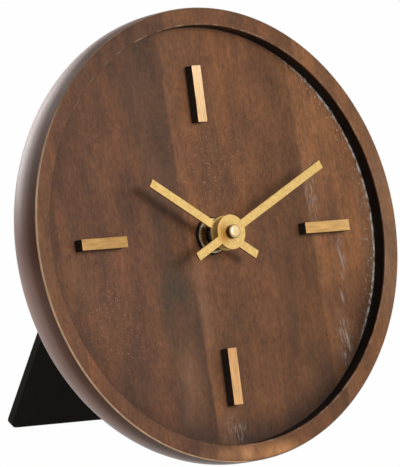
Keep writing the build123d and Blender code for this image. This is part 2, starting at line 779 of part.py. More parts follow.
with BuildPart() as second_wheel:
    wheel_outline = gear_face(
        at(*second_place, centre_wheel_front), second_wheel_teeth, second_module, second_phase)
    extrude(wheel_outline, amount=-train_wheel_thickness)
    pinion_outline = gear_face(
        at(*second_place, centre_wheel_rear), second_pinion_teeth, third_module, second_phase)
    extrude(pinion_outline, amount=-train_pinion_length)
    with BuildSketch(at(*second_place, shaft_front)):
        Circle(train_pivot_diameter / 2)
    extrude(amount=plate_rear_level - shaft_front)
second_wheel.part.label = "second_wheel"
export_step(second_wheel.part, "parts/second_wheel.step")

with BuildPart() as intermediate_wheel:
    wheel_outline = gear_face(
        at(*intermediate_place, rear_wheels_front), intermediate_wheel_teeth, rotor_module,
        intermediate_phase)
    extrude(wheel_outline, amount=-train_wheel_thickness)
    pinion_outline = gear_face(
        at(*intermediate_place, front_pinions_front), intermediate_pinion_teeth, second_module,
        intermediate_phase)
    extrude(pinion_outline, amount=-train_pinion_length)
    with BuildSketch(at(*intermediate_place, shaft_front)):
        Circle(train_pivot_diameter / 2)
    extrude(amount=plate_rear_level - shaft_front)
intermediate_wheel.part.label = "intermediate_wheel"
export_step(intermediate_wheel.part, "parts/intermediate_wheel.step")

# the rotor is a small round magnet behind the plate, with a long pinion that passes through it
with BuildPart() as rotor:
    with BuildSketch(at(*rotor_place, shaft_front)):
        Circle(train_pivot_diameter / 2)
    extrude(amount=rotor_magnet_rear - train_pivot_length - shaft_front)
    pinion_outline = gear_face(
        at(*rotor_place, front_pinions_front), rotor_pinion_teeth, rotor_module, rotor_phase)
    extrude(pinion_outline, amount=rear_pinions_rear - front_pinions_front)
    with BuildSketch(at(*rotor_place, rotor_magnet_front)):
        Circle(rotor_magnet_radius)
    extrude(amount=-rotor_magnet_length)
rotor.part.label = "rotor"
export_step(rotor.part, "parts/rotor.step")

# ---------------------------------------------------------------- minute arbor
# The central shaft: cannon pinion behind, a plain shaft through the hour wheel's pipe, and a
# thinner tip in front that takes the minute hand and its nut.
arbor_shoulder = web_thickness + minute_back_height
with BuildPart() as minute_arbor:
    cannon_pinion = gear_face(seat.offset(cannon_front), cannon_teeth, cannon_module, cannon_phase)
    extrude(cannon_pinion, amount=-pinion_thickness)
    with BuildSketch(seat.offset(cannon_front)):
        Circle(minute_arbor_diameter / 2)
    extrude(amount=arbor_shoulder - cannon_front)
    with BuildSketch(seat.offset(arbor_shoulder)):
        Circle(arbor_tip_diameter / 2)
    extrude(amount=arbor_tip_length)
    with BuildSketch(seat.offset(cannon_rear)):
        Circle(minute_arbor_diameter / 2)
    extrude(amount=plate_front_level + end_play - cannon_rear)
    with BuildSketch(seat.offset(plate_front_level + end_play)):
        Circle(arbor_pivot_diameter / 2)
    extrude(amount=-(plate_thickness + end_play))
minute_arbor.part.label = "minute_arbor"
export_step(minute_arbor.part, "parts/minute_arbor.step")

# ---------------------------------------------------------------- hour wheel
with BuildPart() as hour_wheel:
    wheel_plane = seat.offset(hour_wheel_front)
    extrude(gear_face(wheel_plane, hour_wheel_teeth, hour_module, hour_wheel_phase), amount=-wheel_thickness)
    with BuildSketch(seat.offset(hour_wheel_front)):
        Circle(hour_pipe_diameter / 2)
    extrude(amount=web_thickness + hour_front_height - hour_wheel_front)
    with BuildSketch(seat.offset(hour_wheel_rear)):
        Circle(minute_arbor_diameter / 2 + running_clearance)
    extrude(amount=web_thickness + hour_front_height - hour_wheel_rear, mode=Mode.SUBTRACT)
hour_wheel.part.label = "hour_wheel"
export_step(hour_wheel.part, "parts/hour_wheel.step")

# ---------------------------------------------------------------- hands
# Flat brass strips with a round hub and a short square tail.
with BuildPart() as hour_hand:
    with BuildSketch(turned(dial.offset(hour_back_height), hour_clock_angle)):
        with Locations((0, (hour_reach - hour_tail) / 2)):
            Rectangle(hand_width, hour_reach + hour_tail)
        Circle(hand_hub_diameter / 2)
        Circle(hour_pipe_diameter / 2, mode=Mode.SUBTRACT)
    extrude(amount=hand_thickness)
    with BuildSketch(dial.offset(hour_back_height)):
        Circle(collet_diameter / 2)
        Circle(hour_pipe_diameter / 2, mode=Mode.SUBTRACT)
    extrude(amount=-collet_length)
hour_hand.part.label = "hour_hand"
export_step(hour_hand.part, "parts/hour_hand.step")

with BuildPart() as minute_hand:
    with BuildSketch(turned(dial.offset(minute_back_height), minute_clock_angle)):
        with Locations((0, (minute_reach - minute_tail) / 2)):
            Rectangle(hand_width, minute_reach + minute_tail)
        Circle(hand_hub_diameter / 2)
        Circle(arbor_tip_diameter / 2, mode=Mode.SUBTRACT)
    extrude(amount=hand_thickness)
minute_hand.part.label = "minute_hand"
export_step(minute_hand.part, "parts/minute_hand.step")

# a closed nut with a crowned end holds the minute hand on the arbor's tip
with BuildPart() as hand_nut:
    with BuildSketch(dial.offset(minute_front_height)):
        Circle(hand_nut_diameter / 2)
    extrude(amount=hand_nut_height)
    crown_rim = hand_nut.edges().filter_by(GeomType.CIRCLE).sort_by(clock_axis)[-1]
    fillet(crown_rim, radius=hand_nut_crown)
    with BuildSketch(dial.offset(minute_front_height)):
        Circle(arbor_tip_diameter / 2)
    extrude(amount=arbor_tip_length - hand_thickness, mode=Mode.SUBTRACT)
hand_nut.part.label = "hand_nut"
export_step(hand_nut.part, "parts/hand_nut.step")

# ---------------------------------------------------------------- setting stem and knob
# The stem's wheel meshes with the cannon pinion and its pinion with the hour wheel, so turning
# the knob behind sets both hands.
knob_front = -movement_depth - knob_gap
with BuildPart() as setting_stem:
    pinion_plane = at(stem_u, stem_v, hour_wheel_front)
    setting_pinion = gear_face(pinion_plane, setting_pinion_teeth, hour_module, setting_pinion_phase)
    extrude(setting_pinion, amount=setting_wheel_front - hour_wheel_front)
    wheel_plane = at(stem_u, stem_v, setting_wheel_front)
    setting_wheel = gear_face(wheel_plane, setting_wheel_teeth, cannon_module, setting_wheel_phase)
    extrude(setting_wheel, amount=-wheel_thickness)
    with BuildSketch(at(stem_u, stem_v, hour_wheel_front)):
        Circle(stem_pivot_diameter / 2)
    extrude(amount=stem_pivot_length)
    with BuildSketch(at(stem_u, stem_v, setting_wheel_rear)):
        Circle(stem_diameter / 2)
    extrude(amount=knob_front - knob_height / 2 - setting_wheel_rear)
setting_stem.part.label = "setting_stem"
export_step(setting_stem.part, "parts/setting_stem.step")

with BuildPart() as setting_knob:
    with BuildSketch(at(stem_u, stem_v, knob_front)):
        Circle(knob_diameter / 2)
    extrude(amount=-knob_height)
    knob_rim = setting_knob.edges().filter_by(GeomType.CIRCLE).sort_by(clock_axis)[0]
    chamfer(knob_rim, length=knob_edge_bevel)
    with BuildSketch(at(stem_u, stem_v, knob_front)):
        with PolarLocations(knob_diameter / 2, knob_grooves):
            RegularPolygon(knob_groove_depth, 4)
    extrude(amount=-knob_height, mode=Mode.SUBTRACT)
    with BuildSketch(at(stem_u, stem_v, knob_front)):
        Circle(stem_diameter / 2)
    extrude(amount=-knob_height / 2, mode=Mode.SUBTRACT)
setting_knob.part.label = "setting_knob"
export_step(setting_knob.part, "parts/setting_knob.step")
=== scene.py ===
import json
from math import atan2, cos, pi, radians, sin

import bmesh
import bpy
from mathutils import Matrix, Vector


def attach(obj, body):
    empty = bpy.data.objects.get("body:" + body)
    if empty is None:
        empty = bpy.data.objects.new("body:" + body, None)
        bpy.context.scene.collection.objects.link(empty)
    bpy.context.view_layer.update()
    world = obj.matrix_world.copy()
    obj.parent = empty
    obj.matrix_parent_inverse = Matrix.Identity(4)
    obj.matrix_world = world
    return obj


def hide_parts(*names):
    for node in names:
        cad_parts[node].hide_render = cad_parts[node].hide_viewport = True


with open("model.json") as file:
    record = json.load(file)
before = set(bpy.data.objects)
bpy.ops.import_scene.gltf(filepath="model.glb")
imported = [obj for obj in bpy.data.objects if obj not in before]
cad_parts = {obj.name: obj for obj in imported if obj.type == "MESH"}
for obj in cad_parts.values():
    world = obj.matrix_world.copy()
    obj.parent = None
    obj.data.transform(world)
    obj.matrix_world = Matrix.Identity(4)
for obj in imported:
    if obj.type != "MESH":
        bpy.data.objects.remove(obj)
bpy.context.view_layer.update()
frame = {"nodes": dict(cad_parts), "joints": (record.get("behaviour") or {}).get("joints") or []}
cad = frame["nodes"]

# ================================ wooden case
# A shallow round dish turned on a lathe from edge-glued hardwood staves, stained walnut brown and
# wiped with a satin lacquer. The recess is the dial, and a square pocket is routed in the back.
# The clock is modelled in millimetres with its dial up, centred on the rim's front face, and
# each finished piece is then set on the leaned clock.
case_radius = 76.0
case_depth = 23.0
rim_width = 5.9
recess_depth = 5.3
web_thickness = 3.6
front_edge_round = 0.9
inner_edge_round = 0.4
recess_foot_round = 0.35
rear_edge_round = 16.0
pocket_side = 57.0
pocket_corner = 4.0
bush_hole_radius = 4.2
screw_hole_radius = 1.66
screw_hole_depth = 9.1
screw_half_spacing = 15.0
screw_height = 43.0
screw_places = [(-screw_half_spacing, screw_height), (screw_half_spacing, screw_height)]
overshoot = 1.0  # how far a cutter goes past a face
touch = 0.01  # places nearer than this are the same

hands_joint = next(joint for joint in frame["joints"] if joint["name"] == "minute_turn")
rim_centre = Vector(hands_joint["pos_m"])
out_of_dial = -Vector(hands_joint["axis"])
to_the_right = Vector((1, 0, 0))
up_the_dial = out_of_dial.cross(to_the_right)
leaned = Matrix((to_the_right, up_the_dial, out_of_dial)).transposed()
clock_place = Matrix.Translation(rim_centre) @ leaned.to_4x4() @ Matrix.Scale(0.001, 4)


def let_go():
    """Leaves edit mode and selects nothing."""
    if bpy.context.mode != "OBJECT":
        bpy.ops.object.mode_set(mode="OBJECT")
    bpy.ops.object.select_all(action="DESELECT")


def take(piece, mode="OBJECT"):
    """Makes the piece the only one selected and puts it in that mode."""
    let_go()
    bpy.context.view_layer.objects.active = piece
    piece.select_set(True)
    bpy.ops.object.mode_set(mode=mode)


def name_new(name):
    """Names the piece that was just added, and applies its size and place."""
    bpy.ops.object.transform_apply()
    bpy.context.object.name = name
    return bpy.context.object


def add_disc(name, radius, low, high, place=(0, 0), vertices=96):
    """A new round piece between two heights."""
    let_go()
    bpy.ops.mesh.primitive_cylinder_add(
        vertices=vertices, radius=radius, depth=high - low, location=(*place, (low + high) / 2))
    return name_new(name)


def add_block(name, width, height, low, high, place=(0, 0)):
    """A new square-edged piece between two heights, width across the dial and height up it."""
    let_go()
    bpy.ops.mesh.primitive_cube_add(
        size=1, scale=(width, height, high - low), location=(*place, (low + high) / 2))
    return name_new(name)


def pick(piece, kind, test):
    """Opens the piece and selects only the faces or edges whose middle passes the test."""
    take(piece, "EDIT")
    bpy.ops.mesh.select_mode(type=kind)
    bpy.ops.mesh.select_all(action="DESELECT")
    mesh = bmesh.from_edit_mesh(piece.data)
    for part in mesh.faces if kind == "FACE" else mesh.edges:
        part.select_set(test(sum((vertex.co for vertex in part.verts), Vector()) / len(part.verts)))
    bmesh.update_edit_mesh(piece.data)


def round_edges(piece, offset, segments, test):
    """Bevels the edges whose middle passes the test."""
    pick(piece, "EDGE", test)
    bpy.ops.mesh.bevel(offset=offset, segments=segments, affect="EDGES")


def modify(piece, kind, **settings):
    """Adds a modifier with its settings and applies it."""
    take(piece)
    modifier = piece.modifiers.new(kind, kind)
    for setting, value in settings.items():
        setattr(modifier, setting, value)
    bpy.ops.object.modifier_apply(modifier=modifier.name)


def soften(piece, width):
    """Breaks every sharp edge of the piece a little."""
    modify(piece, "BEVEL", width=width, segments=2, limit_method="ANGLE", angle_limit=radians(35))


def combine(piece, other, operation="DIFFERENCE"):
    """Cuts the other piece away, joins it on or keeps what they share, and deletes the other."""
    modify(piece, "BOOLEAN", operation=operation, object=other, solver="EXACT")
    bpy.data.objects.remove(other)


def drill(piece, radius, low, high, place=(0, 0), vertices=96):
    """Drills a round hole through the piece, past both of these heights."""
    combine(piece, add_disc("drill", radius, low - overshoot, high + overshoot, place, vertices))


def set_on_clock(piece):
    """Shades the piece, and moves it from its modelling place to the leaned clock."""
    take(piece)
    bpy.ops.object.transform_apply()
    bpy.ops.object.shade_smooth_by_angle(angle=radians(30))
    modify(piece, "WEIGHTED_NORMAL", keep_sharp=True, weight=100)
    piece.data.name = piece.name
    piece.matrix_world = clock_place
    bpy.ops.object.transform_apply()


dial_radius = case_radius - rim_width
rim_inside = dial_radius + 1.0
case = add_disc("wooden_case", case_radius, -case_depth, 0, vertices=256)
pick(case, "FACE", lambda middle: middle.z > -touch)
bpy.ops.mesh.inset(thickness=rim_width)
bpy.ops.mesh.extrude_region_move(TRANSFORM_OT_translate={"value": (0, 0, -recess_depth)})
round_edges(case, front_edge_round, 5, lambda middle: abs(middle.z) < touch and middle.length > rim_inside)
round_edges(case, inner_edge_round, 3, lambda middle: abs(middle.z) < touch and middle.length < rim_inside)
round_edges(case, recess_foot_round, 3, lambda middle: abs(middle.z + recess_depth) < touch)
round_edges(case, rear_edge_round, 24, lambda middle: abs(middle.z + case_depth) < touch)

pocket_floor = -recess_depth - web_thickness
router = add_block("router", pocket_side, pocket_side, -case_depth - overshoot, pocket_floor)
round_edges(router, pocket_corner, 8, lambda middle: min(abs(middle.x), abs(middle.y)) > pocket_side / 2 - touch)
combine(case, router)
drill(case, bush_hole_radius, pocket_floor, -recess_depth, vertices=64)
for place in screw_places:
    combine(case, add_disc(
        "screw_drill", screw_hole_radius, -case_depth - overshoot, screw_hole_depth - case_depth, place, 24))
set_on_clock(case)


def linear(colour):
    """The linear colour of an sRGB hex value such as "5a3a26"."""
    shares = [int(colour[start:start + 2], 16) / 255 for start in (0, 2, 4)]
    return [s / 12.92 if s <= 0.04045 else ((s + 0.055) / 1.055) ** 2.4 for s in shares] + [1.0]


def add_node(material, kind, inputs=None, stops=None, **settings):
    """Adds a shader node with its settings, its inputs as values or links, and a ramp's stops."""
    tree = material.node_tree
    node = tree.nodes.new("ShaderNode" + kind)
    for setting, value in settings.items():
        setattr(node, setting, value)
    for socket, value in (inputs or {}).items():
        if isinstance(value, bpy.types.Node):
            value = value.outputs[0]
        if isinstance(value, bpy.types.NodeSocket):
            tree.links.new(value, node.inputs[socket])
        else:
            node.inputs[socket].default_value = value
    if stops:
        ramp = node.color_ramp.elements
        while len(ramp) < len(stops):
            ramp.new(1.0)
        for element, (position, colour) in zip(ramp, stops):
            element.position = position
            element.color = linear(colour)
    return node


def new_material(name):
    """An empty material and the clock's own coordinates in millimetres: u right, v up, n out."""
    material = bpy.data.materials.new(name)
    material.use_nodes = True
    material.node_tree.nodes.clear()
    return material, add_node(
        material, "Mapping",
        {"Vector": add_node(material, "TexCoord").outputs["Object"], "Location": rim_centre,
         "Rotation": leaned.to_euler(), "Scale": (0.001, 0.001, 0.001)}, vector_type="TEXTURE")


def streaks(material, coords, width, length, depth, detail=2.0):
    """A noise drawn out into marks of that width, length and depth in millimetres."""
    drawn = add_node(material, "Mapping", {"Vector": coords, "Scale": (1 / width, 1 / length, 1 / depth)})
    return add_node(material, "TexNoise", {"Vector": drawn, "Scale": 1.0, "Detail": detail})


def distance(material, coords, directions):
    """The distance from the coordinates' middle, along these directions only."""
    flat = add_node(material, "VectorMath", {0: coords, 1: directions}, operation="MULTIPLY")
    return add_node(material, "VectorMath", {0: flat}, operation="LENGTH").outputs["Value"]


def patch(material, coords, place, width, height):
    """1 at a place on the clock, falling softly to 0 at the edge of an oval of that size."""
    right_through = 1000.0
    span = (width / 2, height / 2, right_through)
    moved = add_node(material, "Mapping", {
        "Vector": coords, "Location": [-m / s for m, s in zip((*place, 0), span)], "Scale": [1 / s for s in span]})
    far = add_node(material, "VectorMath", {0: moved}, operation="LENGTH").outputs["Value"]
    return add_node(
        material, "MapRange", {"Value": far, "From Min": 1.0, "From Max": 0.0}, interpolation_type="SMOOTHSTEP")


def tint(material, under, value, stops):
    """Lightens and darkens what is under it by a ramp of the value, whose neutral grey is bcbcbc."""
    ramp = add_node(material, "ValToRGB", {"Fac": value}, stops=stops)
    return add_node(material, "MixRGB", {"Fac": 1.0, "Color1": under, "Color2": ramp}, blend_type="OVERLAY")


def paint(material, under, colour, *shares):
    """Lays a colour over what is under it, where all the shares are 1."""
    share = shares[0]
    for other in shares[1:]:
        share = add_node(material, "Math", {0: share, 1: other}, operation="MULTIPLY")
    return add_node(material, "MixRGB", {"Fac": share, "Color1": under, "Color2": linear(colour)})


def finish_material(material, colour, roughness, height, relief, **shader_inputs):
    """A Principled surface of that colour and roughness, with a height's relief in millimetres."""
    bump = add_node(material, "Bump", {"Height": height, "Distance": relief / 1000, "Strength": 1.0})
    inputs = {"Base Color": colour, "Roughness": roughness, "Normal": bump}
    for socket, value in shader_inputs.items():
        inputs[socket.replace("_", " ")] = value
    add_node(material, "OutputMaterial", {"Surface": add_node(material, "BsdfPrincipled", inputs)})


def dress(material, *pieces):
    """Gives pieces the material in every slot."""
    for piece in pieces:
        if not piece.data.materials:
            piece.data.materials.append(material)
        for slot in piece.material_slots:
            slot.material = material


# Stained hardwood under satin lacquer: three staves of different tone, growth figure and fibres up
# the dial, short dark pores, a green-grey mineral stain, painted shade in the recess, painted pale
# highlights on the corners, painted sheen and shade on the side, and scratches and specks of old wax.
stave_joint = -9.8
stave_width = 53.3
stave_lean = radians(2.5)
stave_shift_up = 61.3
wood, clock = new_material("walnut stained hardwood, satin lacquer")
u, v, n = add_node(wood, "SeparateXYZ", {"Vector": clock}).outputs
radius = distance(wood, clock, (1, 1, 0))
hour = add_node(wood, "Math", {
    0: add_node(wood, "Math", {0: u, 1: v}, operation="ARCTAN2"), 1: 6 / pi}, operation="MULTIPLY")
along_staves = add_node(wood, "Mapping", {"Vector": clock, "Rotation": (0, 0, -stave_lean)})
across_staves = add_node(wood, "SeparateXYZ", {"Vector": along_staves}).outputs["X"]
from_joint = add_node(wood, "Math", {0: across_staves, 1: stave_joint}, operation="SUBTRACT")
stave_share = add_node(wood, "Math", {0: from_joint, 1: stave_width}, operation="DIVIDE")
stave_number = add_node(wood, "Math", {0: stave_share}, operation="FLOOR")
stave_shift = add_node(wood, "CombineXYZ", {
    "Y": add_node(wood, "Math", {0: stave_number, 1: stave_shift_up}, operation="MULTIPLY"), "Z": stave_number})
board = add_node(wood, "VectorMath", {0: along_staves, 1: stave_shift}, operation="ADD")

left_to_right = add_node(
    wood, "MapRange", {"Value": across_staves, "From Min": -case_radius, "From Max": case_radius})
stave_tones = add_node(wood, "ValToRGB", {"Fac": left_to_right}, stops=[
    (0.0, "725039"), (0.105, "6f4c38"), (0.2, "684837"), (0.3, "664636"), (0.368, "604535"), (0.432, "5c4232"),
    (0.439, "76533c"), (0.533, "714e37"), (0.664, "704d36"), (0.78, "604430"), (0.788, "7b573e"),
    (0.868, "7d573c"), (1.0, "77553c")])
figured = tint(wood, stave_tones, streaks(wood, board, 7.5, 90.0, 7.5, 3.0), [
    (0.3, "b0aeae"), (0.5, "bcbcbc"), (0.7, "c9c2ba")])
fibres = streaks(wood, board, 0.45, 9.0, 0.45, 4.0)
fibred = tint(wood, figured, fibres, [(0.33, "b0b0b0"), (0.67, "c8c7c4")])
clouded = tint(wood, fibred, streaks(wood, board, 9.0, 20.0, 9.0, 4.0), [(0.32, "a4a4a5"), (0.68, "d0c8bb")])
mottled = tint(wood, clouded, streaks(wood, clock, 1.2, 1.7, 1.2, 3.0), [(0.3, "aaaaac"), (0.7, "cccac8")])
pores = add_node(wood, "MapRange", {
    "Value": streaks(wood, board, 0.4, 3.2, 0.4), "From Min": 0.62, "From Max": 0.7, "To Max": 0.45})

# the mineral stain beside the middle joint, clouds of darker stain at the upper left, low on the
# left and on the right stave, and a paler sapwood streak at the foot of the rim
stained = paint(wood, mottled, "38261c", pores)
for place, width, height, share, colour in (
        ((-18, -21), 24, 48, 0.62, "38382d"), ((-21, 10), 24, 52, 0.38, "3a3128"),
        ((-27, 47), 44, 50, 0.3, "46382f"), ((-46, -40), 30, 40, 0.35, "47301f"),
        ((54, -32), 36, 56, 0.55, "472c1f"), ((33, -34), 26, 110, 0.4, "422a1e"),
        ((12, -42), 36, 64, 0.32, "452d20"), ((-22, 69), 60, 16, 0.5, "38291f"),
        ((8, -73.4), 70, 10, 0.95, "cb9160"), ((-62, 32), 34, 40, 0.45, "453229"),
        ((-36, 62), 44, 22, 0.4, "3a2c24"), ((71, -10), 22, 110, 0.6, "94735a"),
        ((-6.5, -20), 8, 46, 0.4, "98735c"), ((-4.5, -74), 8, 12, 0.6, "4c382f"), ((23, 10), 16, 26, 0.4, "3c2a1f"),
        ((-58, -11), 16, 26, 0.35, "94684b"), ((-20, -60), 16, 16, 0.4, "8c624a"),
        ((50, -24), 12, 18, 0.4, "3c261b"), ((29, -25), 12, 22, 0.3, "8c6446"), ((15, 51), 12, 18, 0.3, "4a3626"),
        ((41, -16), 20, 36, 0.45, "3f2b21"), ((-15, -46), 17, 36, 0.45, "936955"),
        ((-4, -46), 9, 24, 0.6, "402c21"), ((-19, 20), 15, 26, 0.35, "805b48")):
    uneven = add_node(wood, "MapRange", {
        "Value": streaks(wood, clock, 5.0, 11.0, 5.0, 4.0), "From Min": 0.25, "From Max": 0.65, "To Max": share})
    stained = paint(wood, stained, colour, patch(wood, clock, place, width, height), uneven)

# painted shade: the dial darkens towards its wall at the left, and more from four to six o'clock, as shade in the
# recess
in_recess = add_node(wood, "Math", {
    0: add_node(wood, "MapRange", {"Value": radius, "From Min": dial_radius + 0.2, "From Max": dial_radius}),
    1: add_node(wood, "MapRange", {"Value": n, "From Min": -6.0, "From Max": -5.6})}, operation="MULTIPLY")
near_wall = add_node(
    wood, "MapRange", {"Value": radius, "From Min": 58.0, "From Max": 70.2, "To Max": 0.75},
    interpolation_type="SMOOTHSTEP")
low_right = add_node(
    wood, "MapRange", {"Value": hour, "From Min": 2.6, "From Max": 4.2}, interpolation_type="SMOOTHSTEP")
at_left = add_node(wood, "MapRange", {"Value": hour, "From Min": -0.8, "From Max": -2.4, "To Max": 0.55})
shade_hours = add_node(wood, "Math", {0: low_right, 1: at_left}, operation="MAXIMUM")
shaded = paint(wood, stained, "2a1d17", shade_hours, near_wall, in_recess)

# painted shade: the recess's wall is painted near black
below_rim = add_node(wood, "MapRange", {"Value": n, "From Min": -0.3, "From Max": -0.7})
on_wall = add_node(wood, "MapRange", {"Value": radius, "From Min": 69.78, "From Max": 69.95})
wall_shaded = paint(wood, shaded, "0c0908", below_rim, on_wall, in_recess)

# a broken line of pale filler where the wall meets the dial, with crumbs of it on the dial, from
# one to four o'clock
at_foot = add_node(wood, "Math", {0: radius, 1: 69.55, 2: 0.36}, operation="COMPARE")
broken = add_node(wood, "MapRange", {
    "Value": streaks(wood, clock, 1.3, 2.2, 1.3, 5.0), "From Min": 0.42, "From Max": 0.58})
foot_line = add_node(wood, "Math", {0: at_foot, 1: broken}, operation="MULTIPLY")
near_foot = add_node(wood, "MapRange", {"Value": radius, "From Min": 63.5, "From Max": 69.0})
small_spots = add_node(wood, "MapRange", {
    "Value": streaks(wood, clock, 0.6, 1.1, 0.6), "From Min": 0.6, "From Max": 0.72, "To Max": 0.7})
crumbs = add_node(wood, "Math", {0: near_foot, 1: small_spots}, operation="MULTIPLY")
filler = add_node(wood, "Math", {0: foot_line, 1: crumbs}, operation="MAXIMUM")
from_half_past_two = add_node(wood, "Math", {
    0: add_node(wood, "Math", {0: hour, 1: 2.6}, operation="SUBTRACT")}, operation="ABSOLUTE")
filler_hours = add_node(wood, "MapRange", {"Value": from_half_past_two, "From Min": 1.6, "From Max": 0.9})
on_floor = add_node(wood, "Math", {0: n, 1: -recess_depth, 2: 0.35}, operation="COMPARE")
filled = paint(wood, wall_shaded, "c6bdb6", filler, filler_hours, on_floor)

# painted highlight and shade: the rim's inner corner is painted pale in places as a highlight, and darker at the
# left as shade
inner_corner = add_node(wood, "Math", {0: radius, 1: dial_radius + 0.2, 2: 0.25}, operation="COMPARE")
at_front = add_node(wood, "MapRange", {"Value": n, "From Min": -0.5, "From Max": -0.3})
inner_highlight_breaks = add_node(wood, "MapRange", {
    "Value": streaks(wood, clock, 4.0, 7.0, 4.0, 5.0), "From Min": 0.45, "From Max": 0.62, "To Max": 0.5})
right_half = add_node(wood, "MapRange", {"Value": hour, "From Min": -2.0, "From Max": -1.6})
left_half = add_node(wood, "MapRange", {"Value": hour, "From Min": -0.8, "From Max": -2.0, "To Max": 0.45})
corner_lit_and_shaded = paint(wood, filled, "a98a75", inner_corner, at_front, inner_highlight_breaks, right_half)
corner_lit_and_shaded = paint(wood, corner_lit_and_shaded, "33251e", inner_corner, at_front, left_half)

# fine scratches and specks of wax, only in the places that were handled, and three thin leaning
# scratches at the right
touched = patch(wood, clock, (54.5, -10), 5, 34)
for place, width, height in (((45, 12), 9, 34), ((51.5, -38), 9, 30), ((0, -65), 16, 16)):
    touched = add_node(wood, "Math", {0: touched, 1: patch(wood, clock, place, width, height)}, operation="ADD")
fine_lines = add_node(wood, "MapRange", {
    "Value": streaks(wood, clock, 0.6, 3.0, 0.6, 5.0), "From Min": 0.5, "From Max": 0.66, "To Max": 0.9})
scratches = add_node(wood, "Math", {0: touched, 1: fine_lines}, operation="MULTIPLY", use_clamp=True)
along_scratch = add_node(wood, "Mapping", {"Vector": clock, "Rotation": (0, 0, radians(-11.2))})
for place, length in (((51.3, -20.9), 14), ((44.4, -47.2), 12), ((47.2, -33.5), 7)):
    scratches = add_node(wood, "Math", {
        0: scratches, 1: patch(wood, along_scratch, place, 1.3, length)}, operation="MAXIMUM")
on_dial = add_node(wood, "MapRange", {"Value": radius, "From Min": 69.6, "From Max": 69.2})
scratched = paint(wood, corner_lit_and_shaded, "97887f", scratches, on_dial)
speck_places = add_node(wood, "Math", {
    0: patch(wood, clock, (-45, -25), 60, 70), 1: patch(wood, clock, (5, 20), 60, 90)}, operation="MAXIMUM")
specks = add_node(wood, "MapRange", {
    "Value": streaks(wood, clock, 0.6, 0.8, 0.6, 1.0), "From Min": 0.64, "From Max": 0.76, "To Max": 0.5})
specked = paint(wood, scratched, "b39a8a", specks, speck_places)

# painted sheen and shade: the side is painted paler and greyer away from the front corner as a sheen, dark beside
# that corner as shade, palest before nine o'clock and browner after it
back_to_front = add_node(wood, "MapRange", {"Value": n, "From Min": -18.0, "From Max": 0.0})
side_sheen_by_depth = add_node(wood, "ValToRGB", {"Fac": back_to_front}, stops=[
    (0.0, "765646"), (0.22, "8c6c5e"), (0.42, "957b75"), (0.62, "8d746c"), (0.76, "675049"), (1.0, "4b3931")])
round_the_dial = add_node(wood, "MapRange", {"Value": hour, "From Min": -6.0, "From Max": 6.0})
side_sheen_and_shade = tint(wood, side_sheen_by_depth, round_the_dial, [
    (0.05, "b8b3ad"), (0.16, "c5beb7"), (0.2, "dad6d2"), (0.225, "d0cac6"), (0.25, "a48f86"), (0.3, "a2918a"),
    (0.35, "b4a49a"), (0.42, "b09c8b")])
outside = add_node(wood, "Math", {
    0: add_node(wood, "MapRange", {"Value": radius, "From Min": 75.3, "From Max": 75.7}),
    1: add_node(wood, "MapRange", {"Value": n, "From Min": -5.6, "From Max": -6.0})}, operation="MAXIMUM")
side_share = add_node(wood, "Math", {
    0: outside, 1: add_node(wood, "MapRange", {"Value": n, "From Min": -22.0, "From Max": -13.0, "To Max": 0.8})},
    operation="MULTIPLY")
sheened_side = add_node(wood, "MixRGB", {"Fac": side_share, "Color1": specked, "Color2": side_sheen_and_shade})

# painted highlight: the front corner is painted pale tan, broken in streaks, most at the left
outer_corner = add_node(wood, "Math", {0: n, 1: -0.42, 2: 0.28}, operation="COMPARE")
at_edge = add_node(wood, "MapRange", {"Value": radius, "From Min": 75.05, "From Max": 75.2})
corner_highlight_breaks = add_node(wood, "MapRange", {
    "Value": streaks(wood, clock, 5.0, 9.0, 5.0, 5.0), "From Min": 0.3, "From Max": 0.7, "To Min": 0.6})
highlight_hours = add_node(wood, "MapRange", {
    "Value": hour, "From Min": -2.4, "From Max": -1.6, "To Min": 1.0, "To Max": 0.35})
corner_highlighted = paint(wood, sheened_side, "e0b894", outer_corner, at_edge, corner_highlight_breaks, highlight_hours)

# a clear coat lies on the side, thinner below ten o'clock, and both it and the wood's own gloss
# fade towards the front corner
sheen = add_node(wood, "MapRange", {
    "Value": streaks(wood, board, 3.0, 20.0, 3.0, 4.0), "To Min": 0.3, "To Max": 0.42})
lacquer = add_node(wood, "Math", {
    0: outside, 1: add_node(wood, "MapRange", {"Value": n, "From Min": -4.5, "From Max": -8.0, "To Max": 0.8})},
    operation="MULTIPLY")
lacquer = add_node(wood, "Math", {
    0: lacquer, 1: add_node(wood, "MapRange", {"Value": hour, "From Min": -2.9, "From Max": -1.6, "To Min": 0.3})},
    operation="MULTIPLY")
dulled = add_node(wood, "Math", {
    0: outside, 1: add_node(wood, "MapRange", {"Value": n, "From Min": -9.0, "From Max": -3.5})},
    operation="MULTIPLY")
gloss = add_node(wood, "MapRange", {"Value": dulled, "To Min": 0.15, "To Max": 0.03})
finish_material(
    wood, corner_highlighted, sheen, fibres, 0.025,
    Specular_IOR_Level=gloss, Coat_Weight=lacquer, Coat_Roughness=0.5, Coat_IOR=1.3)
dress(wood, case)
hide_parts("case")
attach(case, "clock")

# ================================ hour marks
# Four square bars of solid brass glued to the dial, their faces brushed along their length and
# their sides painted near black as shade.
mark_length = 19.0
mark_width = 3.8
mark_height = 3.8
mark_centre = 47.3
mark_edge = 0.22
mark_low = -recess_depth
mark_top = mark_low + mark_height
first_mark = add_block("first_mark", mark_width, mark_length, mark_low, mark_top, (0, mark_centre))
soften(first_mark, mark_edge)
